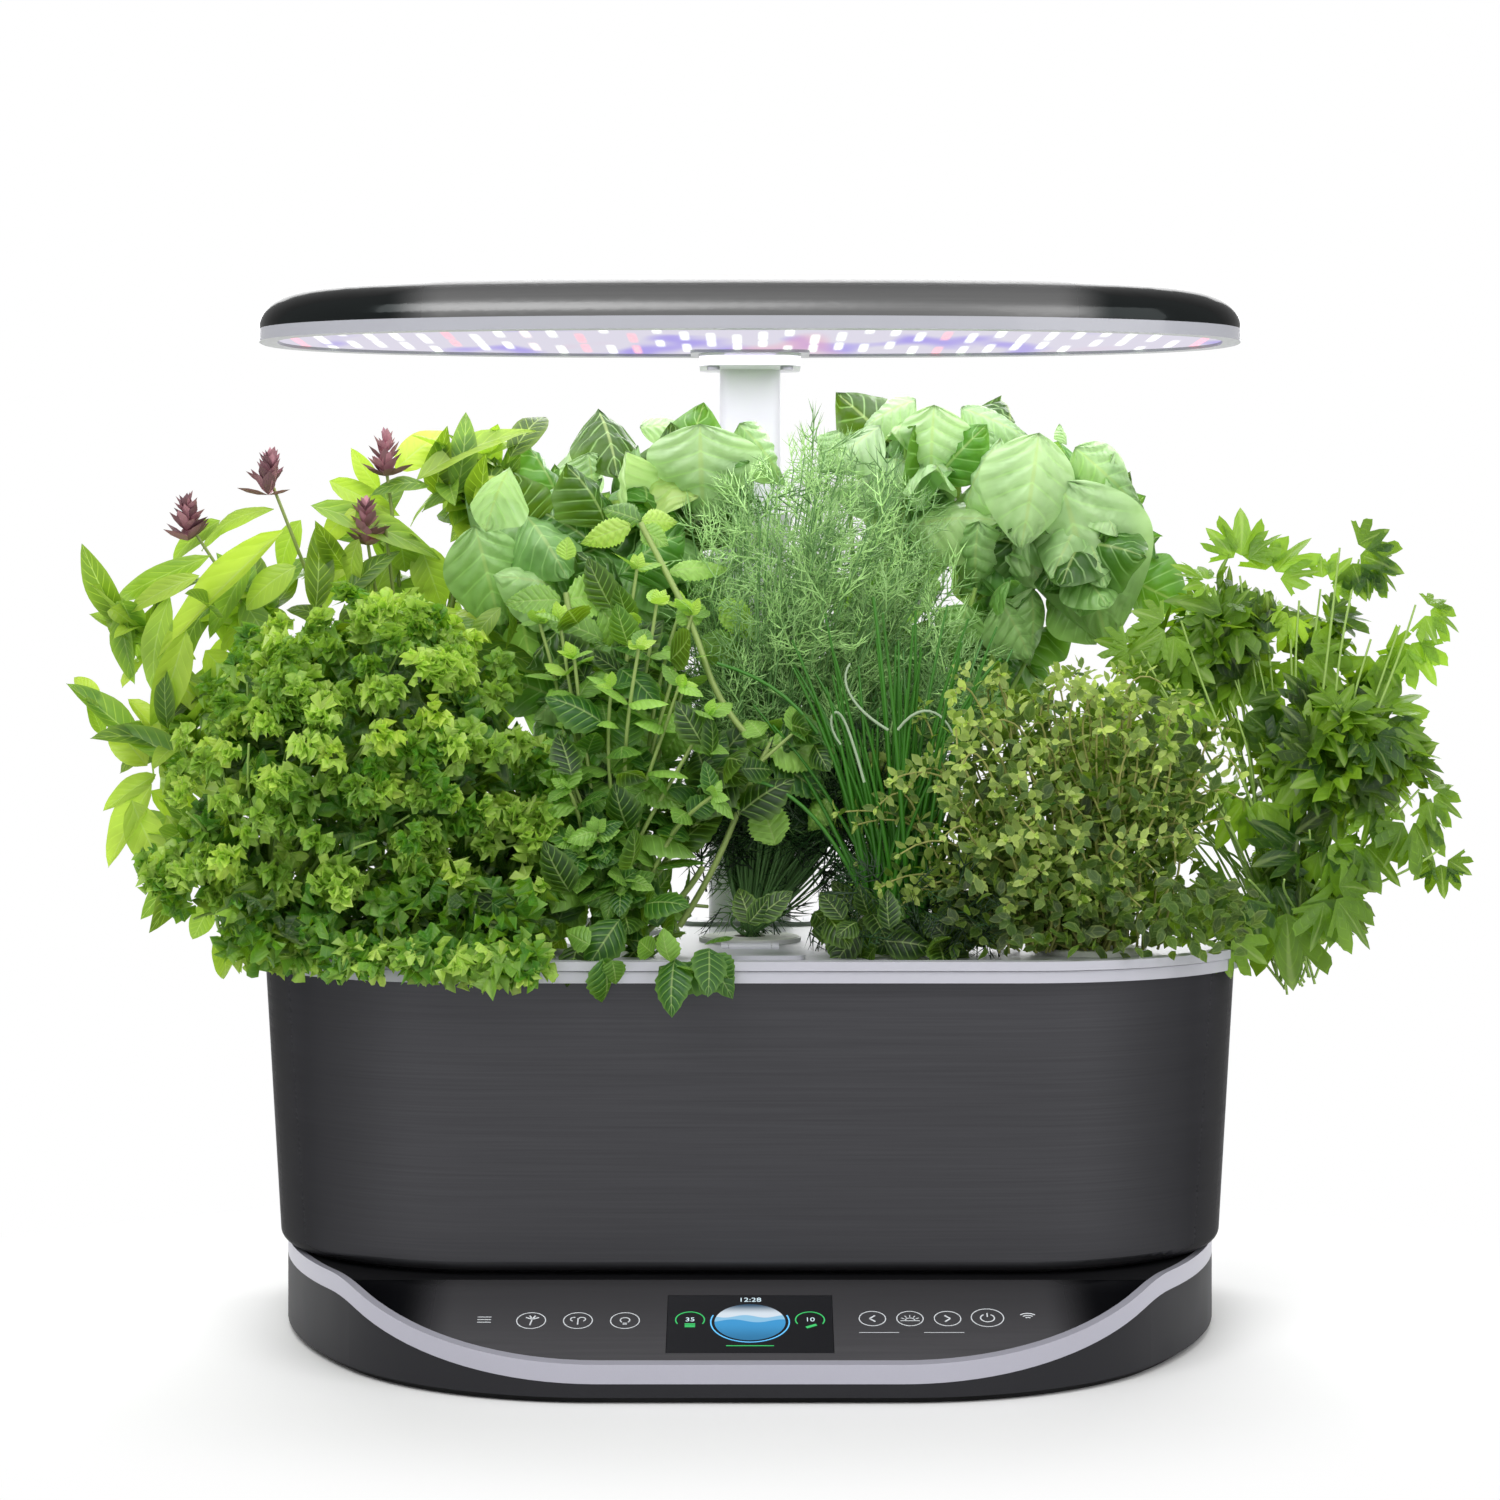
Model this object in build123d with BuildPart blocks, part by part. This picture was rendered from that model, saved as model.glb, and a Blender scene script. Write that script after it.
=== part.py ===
from build123d import *
import math
import os

# Countertop hydroponic garden. Millimetres, +Z up, +Y towards the back.
# The origin is on the table, under the middle of the bowl.

# ---------------------------------------------------------------- driving dimensions
# Base housing
base_half_width = 206.0
base_front = 157.0            # from the bowl's middle to the front of the base
base_back = 131.0
base_front_flat = 60.0        # half of the straight front edge
base_corner_radius = 125.0
base_side_radius = 250.0
base_back_radius = 60.0
base_top = 38.6
base_wall = 2.5
foot_height = 2.7
foot_width = 9.0
foot_inset = 4.0
pan_thickness = 2.5
trim_width = 3.0              # silver band, across its wall
trim_height = 7.6             # silver band, up and down
panel_front_height = 15.7
panel_slope = 20.5            # degrees from level
panel_bend_radius = 60.0
panel_back = -96.0            # where the sloped panel ends under the bowl
panel_recess = 0.6
panel_thickness = 2.6
platform_recess = 0.2
platform_thickness = 3.0
post_radius = 4.0
post_places = [(-150, 60), (150, 60), (-150, -30), (150, -30), (-85, -112), (85, -112)]
fit_gap = 0.2                 # around pieces that drop into an opening
panel_joint = 0.3             # between the panel and the platform
screw_hole_play = 0.1
screw_grip_play = 0.05
screw_radius = 1.5
screw_head_radius = 3.0
screw_head_height = 1.6
screw_depth = 7.0

# Display and electronics
display_width = 66.4
display_length = 42.2         # along the slope
display_thickness = 5.0
display_middle = -128.5       # distance of its middle in front of the bowl's middle
display_recess = 0.2          # below the panel's face
board_gap = 0.5               # around the touch board's openings
touch_board_width = 184.0
touch_board_length = 44.4
board_thickness = 1.6
main_board_width = 96.0
main_board_depth = 62.0
main_board_height = 13.0      # level of its underside
standoff_radius = 3.0
standoff_border = 6.0         # from the board's edge to a standoff's middle
board_blocks = [(-20, 8, 16, 16, 1.6), (12, 12, 22, 14, 2.4)]  # place, width, depth, height
board_cans = [(28, -12, 4, 11), (38, -12, 4, 11), (-30, -16, 7, 6)]  # place, radius, height
inlet_x = -64.0
inlet_width = 11.0
inlet_height = 12.0
inlet_depth = 15.0
inlet_level = 17.0
inlet_setback = 0.4
inlet_floor = 3.0
inlet_bore_radius = 2.9
inlet_pin_radius = 1.05

# Telescopic arm
arm_y = 103.0
arm_width = 28.6              # inner stage, across
arm_depth = 16.0              # inner stage, front to back
arm_wall = 2.2
arm_play = 0.3
arm_corner = 5.0
arm_outer_top = 292.0
arm_middle_top = 356.0
arm_bottom_step = 10.0        # each inner stage ends this much higher
collar_height = 10.0
collar_wall = 2.4
collar_fit = 0.05
collar_clearance = 0.1
socket_wall = 9.0
socket_play = 0.1

# Lamp
lamp_half_width = 218.0
lamp_half_depth = 76.5
lamp_y = 19.0
lamp_power = 2.5              # fullness of the lamp's oval
lamp_oval_points = 48
lamp_bottom = 431.5
lamp_trim_height = 5.5
lamp_height = 26.5            # underside to crown
hood_crown_inset = 64.0       # from the hood's edge to its level crown
hood_edge_power = 2.2         # how tightly the hood's edge is rounded
hood_steps = 6
lamp_trim_ledge = 8.0
lamp_wall = 2.2
ledge_height = 1.3
lens_thickness = 2.0
lens_edge = 5.0               # trim wall outside the lens
lens_gap = 0.3
led_board_gap = 2.2           # from the lens up to the board
sink_thickness = 2.0
sink_inset = 20.0
fin_inset = 40.0
fin_end = 60.0                # from the lamp's end to the last fin
fin_count = 17
fin_height = 7.0
fin_thickness = 1.4
led_size = 5.0
led_thickness = 0.9
led_columns = 17
led_pitch = 23.0
led_row_count = 4
led_row_pitch = 24.0
led_end_border = 48.0         # outer rows stop this far from the lamp's ends
led_outer_row = 30.0          # rows further out than this are outer rows
bracket_width = 47.0
bracket_front = 66.0
bracket_thickness = 5.5
bracket_border = 3.0          # behind the arm
bracket_corner = 9.0
bracket_slot_width = 23.6
bracket_slot_depth = 1.0
bracket_slot_height = 1.5
bracket_stub = 26.0
stub_gap = 0.1
pad_border = 4.0              # the lamp's solid patch, beside the bracket
pad_front = 3.0               # the lamp's solid patch, in front of the bracket
pad_corner = 5.0
lamp_screw_x = 17.0
lamp_screw_back = 9.0         # behind the bracket's front edge

# Bowl, deck and pods
bowl_straight = 111.0         # half of the distance between the end arcs' centres
bowl_top_radius = 101.0
bowl_draft = 7.0              # the bowl's foot is this much narrower all round
bowl_height = 121.2
bowl_seat_gap = 0.2
bowl_wall = 3.0
skin_thickness = 1.0
skin_gap = 0.1
skin_lap = 9.0                # how far the skin reaches under the bowl
skin_curl_radius = 5.0
skin_lift = 0.6               # above the bowl's foot
bowl_foot_gap = 1.0           # between the bowl's foot and the skin's edge
rim_overhang = 6.0
rim_thickness = 4.8
notch_half_width = 25.0
notch_front = 84.0
notch_corner = 6.0
deck_gap = 0.3
deck_overhang = 7.0
deck_lip = 3.7
deck_recess = 2.0
deck_thickness = 3.0
deck_skirt = 7.0
deck_skirt_wall = 2.4
deck_play = 1.2               # deck skirt inside the bowl
deck_border = 8.0
pod_row = 46.0                # rows in front of and behind the middle
pod_inner_x = 62.0
pod_outer_x = 146.0
pod_middle_y = 6.0
pod_radius = 19.0
pod_flange_radius = 22.5
pod_flange_height = 1.8
pod_depth = 56.0
pod_taper = 5.0
pod_wall = 1.4
pod_clearance = 0.3
label_thickness = 0.4
label_border = 1.0
slot_width = 5.0
slot_length = 16.8
slot_level = 19.6             # above the basket's bottom
stem_hole_radius = 7.0
stem_radius = 4.5
stem_gap = 0.3                # between a stem and the basket's top

# Fill lid
port_width = 40.0
port_depth = 26.0
port_setback = 34.0           # from the bowl's front to the port's middle
port_corner = 4.0
lid_corner = 5.0
lid_border = 3.0
lid_thickness = 1.8
lid_knuckle_radius = 2.0
lid_knuckle_width = 18.0
lid_ear_width = 3.0
lid_pin_radius = 1.0
running_clearance = 0.06
lid_gap = 0.25
lid_side_gap = 0.3

# Pump and level sensor
pump_x = 105.0
pump_y = 42.0
pump_width = 46.0
pump_depth = 40.0
pump_height = 34.0
pump_wall = 3.0
chamber_gap = 1.5             # around the impeller
intake_width = 12.0
intake_height = 8.0
impeller_radius = 11.0
impeller_hub_radius = 6.6
impeller_height = 14.0
impeller_lift = 0.3
blade_thickness = 1.6
blade_height = 7.0
blade_count = 4
impeller_shaft_radius = 1.5
riser_radius = 5.0
riser_wall = 1.2
riser_offset = 4.0            # behind the pump's middle
riser_gap = 0.6               # under the deck
filter_thickness = 8.0
sensor_x = -105.0
sensor_y = 42.0
sensor_stem_radius = 4.0
sensor_height = 78.0
sensor_foot = 3.0
sensor_cap_radius = 7.0
float_radius = 13.0
float_height = 18.0
float_bore_play = 0.1

# Docking contacts behind the bowl
dock_x = 62.0
dock_width = 30.0
dock_depth = 15.0
dock_height = 22.0
dock_pitch = 7.0
dock_pin_radius = 1.4
dock_pin_length = 7.5
dock_pin_count = 3
dock_gap = 0.6                # behind the bowl
contact_gap = 0.3             # between the bowl's contact and the docking block
contact_width = 26.0
contact_depth = 6.0
contact_height = 13.2

# Foliage
overcut = 1.0                 # how far a cut reaches past the face it opens
leaf_gap = 1.0                # between one plant and the next
lift_room = 12.0              # free height above the plants, under the lamp
mass_turn = (0, 0, 45)      # degrees, keeps the round masses' poles off each other

# ---------------------------------------------------------------- derived levels
bowl_bottom = base_top + bowl_seat_gap
bowl_top = bowl_bottom + bowl_height
rim_top = bowl_top + rim_thickness
lip_bottom = rim_top + deck_gap
deck_top = lip_bottom + deck_lip
deck_floor = deck_top - deck_recess
pan_top = foot_height + pan_thickness
lamp_trim_top = lamp_bottom + lamp_trim_height
slope = math.tan(math.radians(panel_slope))
bend_y = -base_front + (base_top - panel_front_height) / slope
bowl_bottom_radius = bowl_top_radius - bowl_draft
rim_radius = bowl_top_radius + rim_overhang
deck_radius = bowl_top_radius + deck_overhang
pods = {
    "curly_parsley": (-pod_outer_x, -pod_row),
    "mint": (-pod_inner_x, -pod_row),
    "chives": (pod_inner_x, -pod_row),
    "thyme": (pod_outer_x, -pod_row),
    "dill": (0.0, pod_middle_y),
    "thai_basil": (-pod_outer_x, pod_row),
    "left_basil": (-pod_inner_x, pod_row),
    "right_basil": (pod_inner_x, pod_row),
    "flat_parsley": (pod_outer_x, pod_row),
}
pod_places = list(pods.values())
middle_grow = arm_wall + arm_play
outer_grow = 2 * middle_grow
middle_bottom = pan_top + arm_bottom_step
inner_bottom = middle_bottom + arm_bottom_step
inner_top = lamp_bottom - bracket_thickness
room = 2 * (base_half_width + base_front)
centre_low = (Align.CENTER, Align.CENTER, Align.MIN)

os.makedirs("parts", exist_ok=True)


def save(piece, name):
    """Label one finished piece and write its file."""
    piece.label = name
    export_step(piece, f"parts/{name}.step")


# ---------------------------------------------------------------- shared outlines
def base_outline(inset, low, high):
    """The base's plan between two heights, drawn in by an inset."""
    turn = math.asin((base_half_width - base_front_flat - base_side_radius)
                     / (base_corner_radius - base_side_radius))
    turn_degrees = math.degrees(turn)
    with BuildPart() as block:
        with BuildSketch(Plane.XY.offset(low)):
            with BuildLine():
                front = Line((0, -base_front), (base_front_flat, -base_front))
                corner = JernArc(front @ 1, (1, 0), base_corner_radius, turn_degrees)
                side = JernArc(corner @ 1, corner % 1, base_side_radius, 90 - turn_degrees)
                flank = Line(side @ 1, (base_half_width, base_back - base_back_radius))
                back = JernArc(flank @ 1, (0, 1), base_back_radius, 90)
                Line(back @ 1, (0, base_back))
                mirror(about=Plane.YZ)
            make_face()
            if inset:
                offset(amount=-inset, mode=Mode.REPLACE)
        extrude(amount=high - low)
    return block.part


def above_base(drop):
    """The space above the base's sloped and level top, lowered by a drop."""
    far = base_half_width + base_front
    with BuildPart() as space:
        with BuildSketch(Plane.YZ):
            with BuildLine():
                top = FilletPolyline(
                    (-far, panel_front_height - drop - (far - base_front) * slope),
                    (bend_y, base_top - drop),
                    (far, base_top - drop),
                    radius=panel_bend_radius,
                )
                Polyline(top @ 1, (far, far), (-far, far), top @ 0)
            make_face()
        extrude(amount=far, both=True)
    return space.part


def panel_plane(drop):
    """The control panel's sloped plane at the display's middle, lowered by a drop."""
    height = panel_front_height + (display_middle + base_front) * slope
    tilt = math.radians(panel_slope)
    surface = Plane(
        origin=(0, display_middle, height),
        x_dir=(1, 0, 0),
        z_dir=(0, -math.sin(tilt), math.cos(tilt)),
    )
    return surface.offset(-drop * math.cos(tilt))


def wall_radius(height):
    """The tapered bowl's end radius at a height."""
    rise = (height - bowl_bottom) / bowl_height
    return bowl_bottom_radius + rise * (bowl_top_radius - bowl_bottom_radius)


def notch(inset, low, high):
    """The recess for the arm at the bowl's back, grown by an inset."""
    reach = deck_radius + notch_front
    with BuildPart() as block:
        with BuildSketch(Plane.XY.offset(low)):
            with Locations((0, notch_front - inset + reach / 2)):
                RectangleRounded(2 * (notch_half_width + inset), reach, notch_corner + inset)
        extrude(amount=high - low)
    return block.part


def tub(inset, low, high, curl=0.0):
    """The bowl's tapered body, drawn in by an inset, with its arm notch."""
    with BuildPart() as body:
        for height in (low, high):
            with BuildSketch(Plane.XY.offset(height)):
                SlotCenterToCenter(2 * bowl_straight, 2 * (wall_radius(height) - inset))
        loft(ruled=True)
        if curl:
            fillet(body.edges().group_by(Axis.Z)[0], radius=curl)
    return body.part - notch(inset, low - overcut, high + overcut)


def slot_block(radius, low, high, grow=0.0):
    """A level slab of the bowl's plan with its own end radius, and its arm notch."""
    with BuildPart() as slab:
        with BuildSketch(Plane.XY.offset(low)):
            SlotCenterToCenter(2 * bowl_straight, 2 * radius)
        extrude(amount=high - low)
    return slab.part - notch(grow, low - overcut, high + overcut)


def signed_power(value, power):
    """A value raised to a power, with its sign kept."""
    return math.copysign(abs(value) ** power, value)


def lamp_sketch(inset, height):
    """The face inside the lamp's oval plan at a height, drawn in by an inset."""
    points = []
    for step in range(lamp_oval_points):
        angle = 2 * math.pi * step / lamp_oval_points
        across = signed_power(math.cos(angle), 2 / lamp_power)
        along = signed_power(math.sin(angle), 2 / lamp_power)
        points.append(((lamp_half_width - inset) * across,
                       lamp_y + (lamp_half_depth - inset) * along))
    with BuildSketch(Plane.XY.offset(height)) as face:
        with BuildLine():
            Spline(*points, periodic=True)
        make_face()
    return face.sketch


def lamp_block(inset, low, high):
    """A level slab of the lamp's plan."""
    with BuildPart() as slab:
        add(lamp_sketch(inset, low))
        extrude(amount=high - low)
    return slab.part


def arm_section(grow, low, high, corner=arm_corner):
    """A length of the arm's rounded section, grown on every side."""
    with BuildPart() as length:
        with BuildSketch(Plane.XY.offset(low)):
            with Locations((0, arm_y)):
                RectangleRounded(arm_width + 2 * grow, arm_depth + 2 * grow, corner + grow)
        extrude(amount=high - low)
    return length.part


# ---------------------------------------------------------------- base
with BuildPart() as foot_ring:
    add(base_outline(foot_inset, 0, foot_height))
    add(base_outline(foot_inset + foot_width, 0, foot_height), mode=Mode.SUBTRACT)
save(foot_ring.part, "foot_ring")

with BuildPart() as base_pan:
    add(base_outline(base_wall + fit_gap, foot_height, pan_top))
    with Locations(*[(x, y, foot_height) for x, y in post_places]):
        Cylinder(screw_radius + screw_hole_play, 3 * pan_thickness, mode=Mode.SUBTRACT)
    with BuildSketch(Plane.XY.offset(pan_top)):
        with GridLocations(main_board_width - 2 * standoff_border,
                           main_board_depth - 2 * standoff_border, 2, 2):
            Circle(standoff_radius)
    extrude(amount=main_board_height - pan_top)
save(base_pan.part, "base_pan")

with BuildPart() as base_shell:
    add(base_outline(0, foot_height, base_top))
    add(base_outline(base_wall, foot_height, base_top), mode=Mode.SUBTRACT)
    add(above_base(trim_height), mode=Mode.SUBTRACT)
    with Locations((inlet_x, base_back, inlet_level)):
        Box(inlet_width + 2 * fit_gap, 4 * base_wall, inlet_height + 2 * fit_gap,
            mode=Mode.SUBTRACT)
save(base_shell.part, "base_shell")

with BuildPart() as base_trim:
    add(base_outline(0, foot_height, base_top))
    add(base_outline(trim_width, foot_height, base_top), mode=Mode.SUBTRACT)
    add(above_base(0), mode=Mode.SUBTRACT)
    add(above_base(trim_height), mode=Mode.INTERSECT)
save(base_trim.part, "base_trim")

plate_inset = trim_width + fit_gap
front_half = Pos(0, panel_back - room / 2, 0) * Box(room, room, room)
back_half = Pos(0, panel_back + panel_joint + room / 2, 0) * Box(room, room, room)


def top_plate(recess, thickness, half, places):
    """A plate just under the base's top line, on posts that stand on the pan."""
    with BuildPart() as plate:
        add(base_outline(plate_inset, pan_top, base_top))
        add(above_base(recess), mode=Mode.SUBTRACT)
        add(above_base(recess + thickness), mode=Mode.INTERSECT)
        add(half, mode=Mode.INTERSECT)
    with BuildPart() as posts:
        with BuildSketch(Plane.XY.offset(pan_top)):
            with Locations(*places):
                Circle(post_radius)
        extrude(amount=base_top - pan_top)
        add(above_base(recess + thickness / 2), mode=Mode.SUBTRACT)
    with BuildPart() as whole:
        add(plate.part)
        add(posts.part)
        with Locations(*[(x, y, pan_top) for x, y in places]):
            Cylinder(screw_radius + screw_grip_play, 2 * screw_depth, mode=Mode.SUBTRACT)
    return whole.part


panel_posts = [place for place in post_places if place[1] < panel_back]
platform_posts = [place for place in post_places if place[1] > panel_back]

with BuildPart() as control_panel:
    add(top_plate(panel_recess, panel_thickness, front_half, panel_posts))
    with BuildSketch(panel_plane(0)):
        Rectangle(display_width + 2 * fit_gap, display_length + 2 * fit_gap)
    extrude(amount=2 * display_thickness, both=True, mode=Mode.SUBTRACT)
save(control_panel.part, "control_panel")

with BuildPart() as base_platform:
    add(top_plate(platform_recess, platform_thickness, back_half, platform_posts))
    add(arm_section(outer_grow + fit_gap, pan_top, base_top), mode=Mode.SUBTRACT)
save(base_platform.part, "base_platform")

with BuildPart() as display_module:
    with BuildSketch(panel_plane(panel_recess + display_recess)):
        Rectangle(display_width, display_length)
    extrude(amount=-display_thickness)
save(display_module.part, "display_module")

with BuildPart() as touch_board:
    with BuildSketch(panel_plane(panel_recess + panel_thickness)):
        Rectangle(touch_board_width, touch_board_length)
        Rectangle(display_width + 2 * board_gap, display_length + 2 * board_gap,
                  mode=Mode.SUBTRACT)
    extrude(amount=-board_thickness)
    with BuildSketch(Plane.XY.offset(pan_top)):
        with Locations(*panel_posts):
            Circle(post_radius + board_gap)
    extrude(amount=base_top, mode=Mode.SUBTRACT)
save(touch_board.part, "touch_board")

with BuildPart() as main_board:
    with Locations((0, 0, main_board_height)):
        Box(main_board_width, main_board_depth, board_thickness, align=centre_low)
save(main_board.part, "main_board")

with BuildPart() as board_parts:
    for x, y, width, depth, height in board_blocks:
        with Locations((x, y, main_board_height + board_thickness)):
            Box(width, depth, height, align=centre_low)
    for x, y, radius, height in board_cans:
        with Locations((x, y, main_board_height + board_thickness)):
            Cylinder(radius, height, align=centre_low)
save(board_parts.part, "board_parts")

with BuildPart() as base_screws:
    with BuildSketch(Plane.XY.offset(foot_height)):
        with Locations(*post_places):
            Circle(screw_head_radius)
    extrude(amount=-screw_head_height)
    with BuildSketch(Plane.XY.offset(foot_height)):
        with Locations(*post_places):
            Circle(screw_radius)
    extrude(amount=screw_depth)
save(base_screws.part, "base_screws")

with BuildPart() as power_inlet:
    with Locations((inlet_x, base_back - inlet_setback, inlet_level)):
        Box(inlet_width, inlet_depth, inlet_height, align=(Align.CENTER, Align.MAX, Align.CENTER))
    with BuildSketch(Plane(origin=(inlet_x, base_back - inlet_setback, inlet_level),
                           z_dir=(0, -1, 0))):
        Circle(inlet_bore_radius)
        Circle(inlet_pin_radius, mode=Mode.SUBTRACT)
    extrude(amount=inlet_depth - inlet_floor, mode=Mode.SUBTRACT)
save(power_inlet.part, "power_inlet")

# ---------------------------------------------------------------- arm
with BuildPart() as arm_outer:
    add(arm_section(outer_grow, pan_top, arm_outer_top))
    add(arm_section(outer_grow - arm_wall, pan_top + arm_wall, arm_outer_top),
        mode=Mode.SUBTRACT)
save(arm_outer.part, "arm_outer")

with BuildPart() as arm_socket:
    add(arm_section(outer_grow + socket_wall, pan_top,
                    base_top - platform_recess - platform_thickness))
    add(arm_section(outer_grow + socket_play, pan_top, base_top), mode=Mode.SUBTRACT)
save(arm_socket.part, "arm_socket")

with BuildPart() as arm_middle:
    add(arm_section(middle_grow, middle_bottom, arm_middle_top))
    add(arm_section(middle_grow - arm_wall, middle_bottom, arm_middle_top),
        mode=Mode.SUBTRACT)
save(arm_middle.part, "arm_middle")

with BuildPart() as arm_inner:
    add(arm_section(0, inner_bottom, inner_top))
    add(arm_section(-arm_wall, inner_bottom, inner_top), mode=Mode.SUBTRACT)
save(arm_inner.part, "arm_inner")


def collar(grow, top):
    """A guide collar on the mouth of an arm stage."""
    with BuildPart() as ring:
        add(arm_section(grow + collar_wall, top - collar_height, top + arm_wall))
        add(arm_section(grow + collar_fit, top - collar_height, top), mode=Mode.SUBTRACT)
        add(arm_section(grow - middle_grow + collar_clearance, top - arm_wall,
                        top + 2 * arm_wall), mode=Mode.SUBTRACT)
    return ring.part


with BuildPart() as lower_collar:
    add(collar(outer_grow, arm_outer_top))
save(lower_collar.part, "lower_collar")

with BuildPart() as upper_collar:
    add(collar(middle_grow, arm_middle_top))
save(upper_collar.part, "upper_collar")

# ---------------------------------------------------------------- lamp
def hood_form(wall):
    """The hood's domed form, with a wall taken off all round."""
    crown = lamp_bottom + lamp_height - wall
    with BuildPart() as dome:
        for step in range(hood_steps + 1):
            run = step / hood_steps
            inset = hood_crown_inset * run ** hood_edge_power + wall
            rise = 1 - (1 - run) ** 2
            add(lamp_sketch(inset, lamp_trim_top + rise * (crown - lamp_trim_top)))
        loft()
    return dome.part


with BuildPart() as hood_cover:
    add(hood_form(0))
    add(hood_form(lamp_wall), mode=Mode.SUBTRACT)
save(hood_cover.part, "hood_cover")

pad_half_width = bracket_width / 2 + pad_border
lens_level = lamp_bottom + ledge_height
led_level = lens_level + lens_thickness + led_board_gap


def bracket_pad(grow, low, high):
    """The solid patch at the lamp's back that the bracket is screwed to."""
    reach = lamp_y + lamp_half_depth
    with BuildPart() as block:
        with BuildSketch(Plane.XY.offset(low)):
            with Locations((0, bracket_front - pad_front - grow + reach / 2)):
                RectangleRounded(2 * (pad_half_width + grow), reach, pad_corner + grow)
        extrude(amount=high - low)
    return block.part


def trim_pad():
    """The part of the solid patch that lies inside the trim."""
    with BuildPart() as pad:
        add(lamp_block(lens_edge, lamp_bottom, led_level))
        add(bracket_pad(0, lamp_bottom, led_level), mode=Mode.INTERSECT)
    return pad.part


with BuildPart() as hood_trim:
    add(lamp_block(0, lamp_bottom, lamp_trim_top))
    add(lamp_block(lamp_trim_ledge, lamp_bottom, lens_level), mode=Mode.SUBTRACT)
    add(lamp_block(lens_edge, lens_level, lamp_trim_top), mode=Mode.SUBTRACT)
    add(trim_pad())
save(hood_trim.part, "hood_trim")

with BuildPart() as lamp_lens:
    add(lamp_block(lens_edge + lens_gap, lens_level, lens_level + lens_thickness))
    add(bracket_pad(lens_gap, lamp_bottom, lamp_trim_top), mode=Mode.SUBTRACT)
save(lamp_lens.part, "lamp_lens")

with BuildPart() as led_board:
    add(lamp_block(lens_edge + lens_gap, led_level, led_level + board_thickness))
save(led_board.part, "led_board")

sink_level = led_level + board_thickness
fin_pitch = 2 * (lamp_half_width - fin_end) / (fin_count - 1)
with BuildPart() as heat_sink:
    add(lamp_block(sink_inset, sink_level, sink_level + sink_thickness))
    with BuildSketch(Plane.XY.offset(sink_level + sink_thickness)):
        with Locations((0, lamp_y)):
            with GridLocations(fin_pitch, 1, fin_count, 1):
                Rectangle(fin_thickness, 2 * (lamp_half_depth - fin_inset))
    extrude(amount=fin_height)
save(heat_sink.part, "heat_sink")


def led_group(places):
    """Light chips under the board, one solid each."""
    with BuildPart() as chips:
        with BuildSketch(Plane.XY.offset(led_level)):
            with Locations(*places):
                Rectangle(led_size, led_size)
        extrude(amount=-led_thickness)
    return chips.part


white_places = []
red_places = []
blue_places = []
for column in range(led_columns):
    across = (column - (led_columns - 1) / 2) * led_pitch
    for row in range(led_row_count):
        depth = (row - (led_row_count - 1) / 2) * led_row_pitch
        stagger = led_pitch / 4 if row % 2 else -led_pitch / 4
        place = (across + stagger, lamp_y + depth)
        near_end = abs(place[0]) > lamp_half_width - led_end_border and abs(depth) > led_outer_row
        if near_end:
            continue
        if (column + 2 * row) % 7 == 3:
            red_places.append(place)
        elif (column + 3 * row) % 8 == 5:
            blue_places.append(place)
        else:
            white_places.append(place)

for name, places in (("leds_white", white_places), ("leds_red", red_places),
                     ("leds_blue", blue_places)):
    save(led_group(places), name)

bracket_back = arm_y + arm_depth / 2 + bracket_border
with BuildPart() as lamp_bracket:
    with BuildSketch(Plane.XY.offset(lamp_bottom)):
        with Locations((0, (bracket_front + bracket_back) / 2)):
            RectangleRounded(bracket_width, bracket_back - bracket_front, bracket_corner)
    extrude(amount=-bracket_thickness)
    add(arm_section(-arm_wall - stub_gap, inner_top - bracket_stub, inner_top))
    with Locations((0, bracket_front, lamp_bottom)):
        Box(bracket_slot_width, 2 * bracket_slot_depth, 2 * bracket_slot_height,
            mode=Mode.SUBTRACT)
save(lamp_bracket.part, "lamp_bracket")

lamp_screw_y = bracket_front + lamp_screw_back
with BuildPart() as lamp_screws:
    with BuildSketch(Plane.XY.offset(inner_top)):
        with Locations((-lamp_screw_x, lamp_screw_y), (lamp_screw_x, lamp_screw_y)):
            Circle(screw_head_radius)
    extrude(amount=-screw_head_height)
save(lamp_screws.part, "lamp_screws")

# ---------------------------------------------------------------- bowl
skin_bottom = bowl_bottom + skin_lift
body_inset = skin_thickness + skin_gap

with BuildPart() as bowl_wrap:
    add(tub(0, skin_bottom, bowl_top, curl=skin_curl_radius))
    add(tub(skin_thickness, skin_bottom + skin_thickness, bowl_top + overcut,
            curl=skin_curl_radius - skin_thickness), mode=Mode.SUBTRACT)
    add(tub(skin_lap, skin_bottom - overcut, bowl_top + overcut), mode=Mode.SUBTRACT)
save(bowl_wrap.part, "bowl_wrap")

inner_floor = skin_bottom + skin_thickness + bowl_wall
with BuildPart() as bowl:
    add(tub(body_inset, skin_bottom + skin_thickness + skin_gap, bowl_top,
            curl=skin_curl_radius - skin_thickness))
    add(tub(skin_lap + bowl_foot_gap, bowl_bottom, inner_floor))
    add(slot_block(rim_radius, bowl_top, rim_top))
    add(tub(body_inset + bowl_wall, inner_floor, rim_top + overcut), mode=Mode.SUBTRACT)
save(bowl.part, "bowl")

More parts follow.
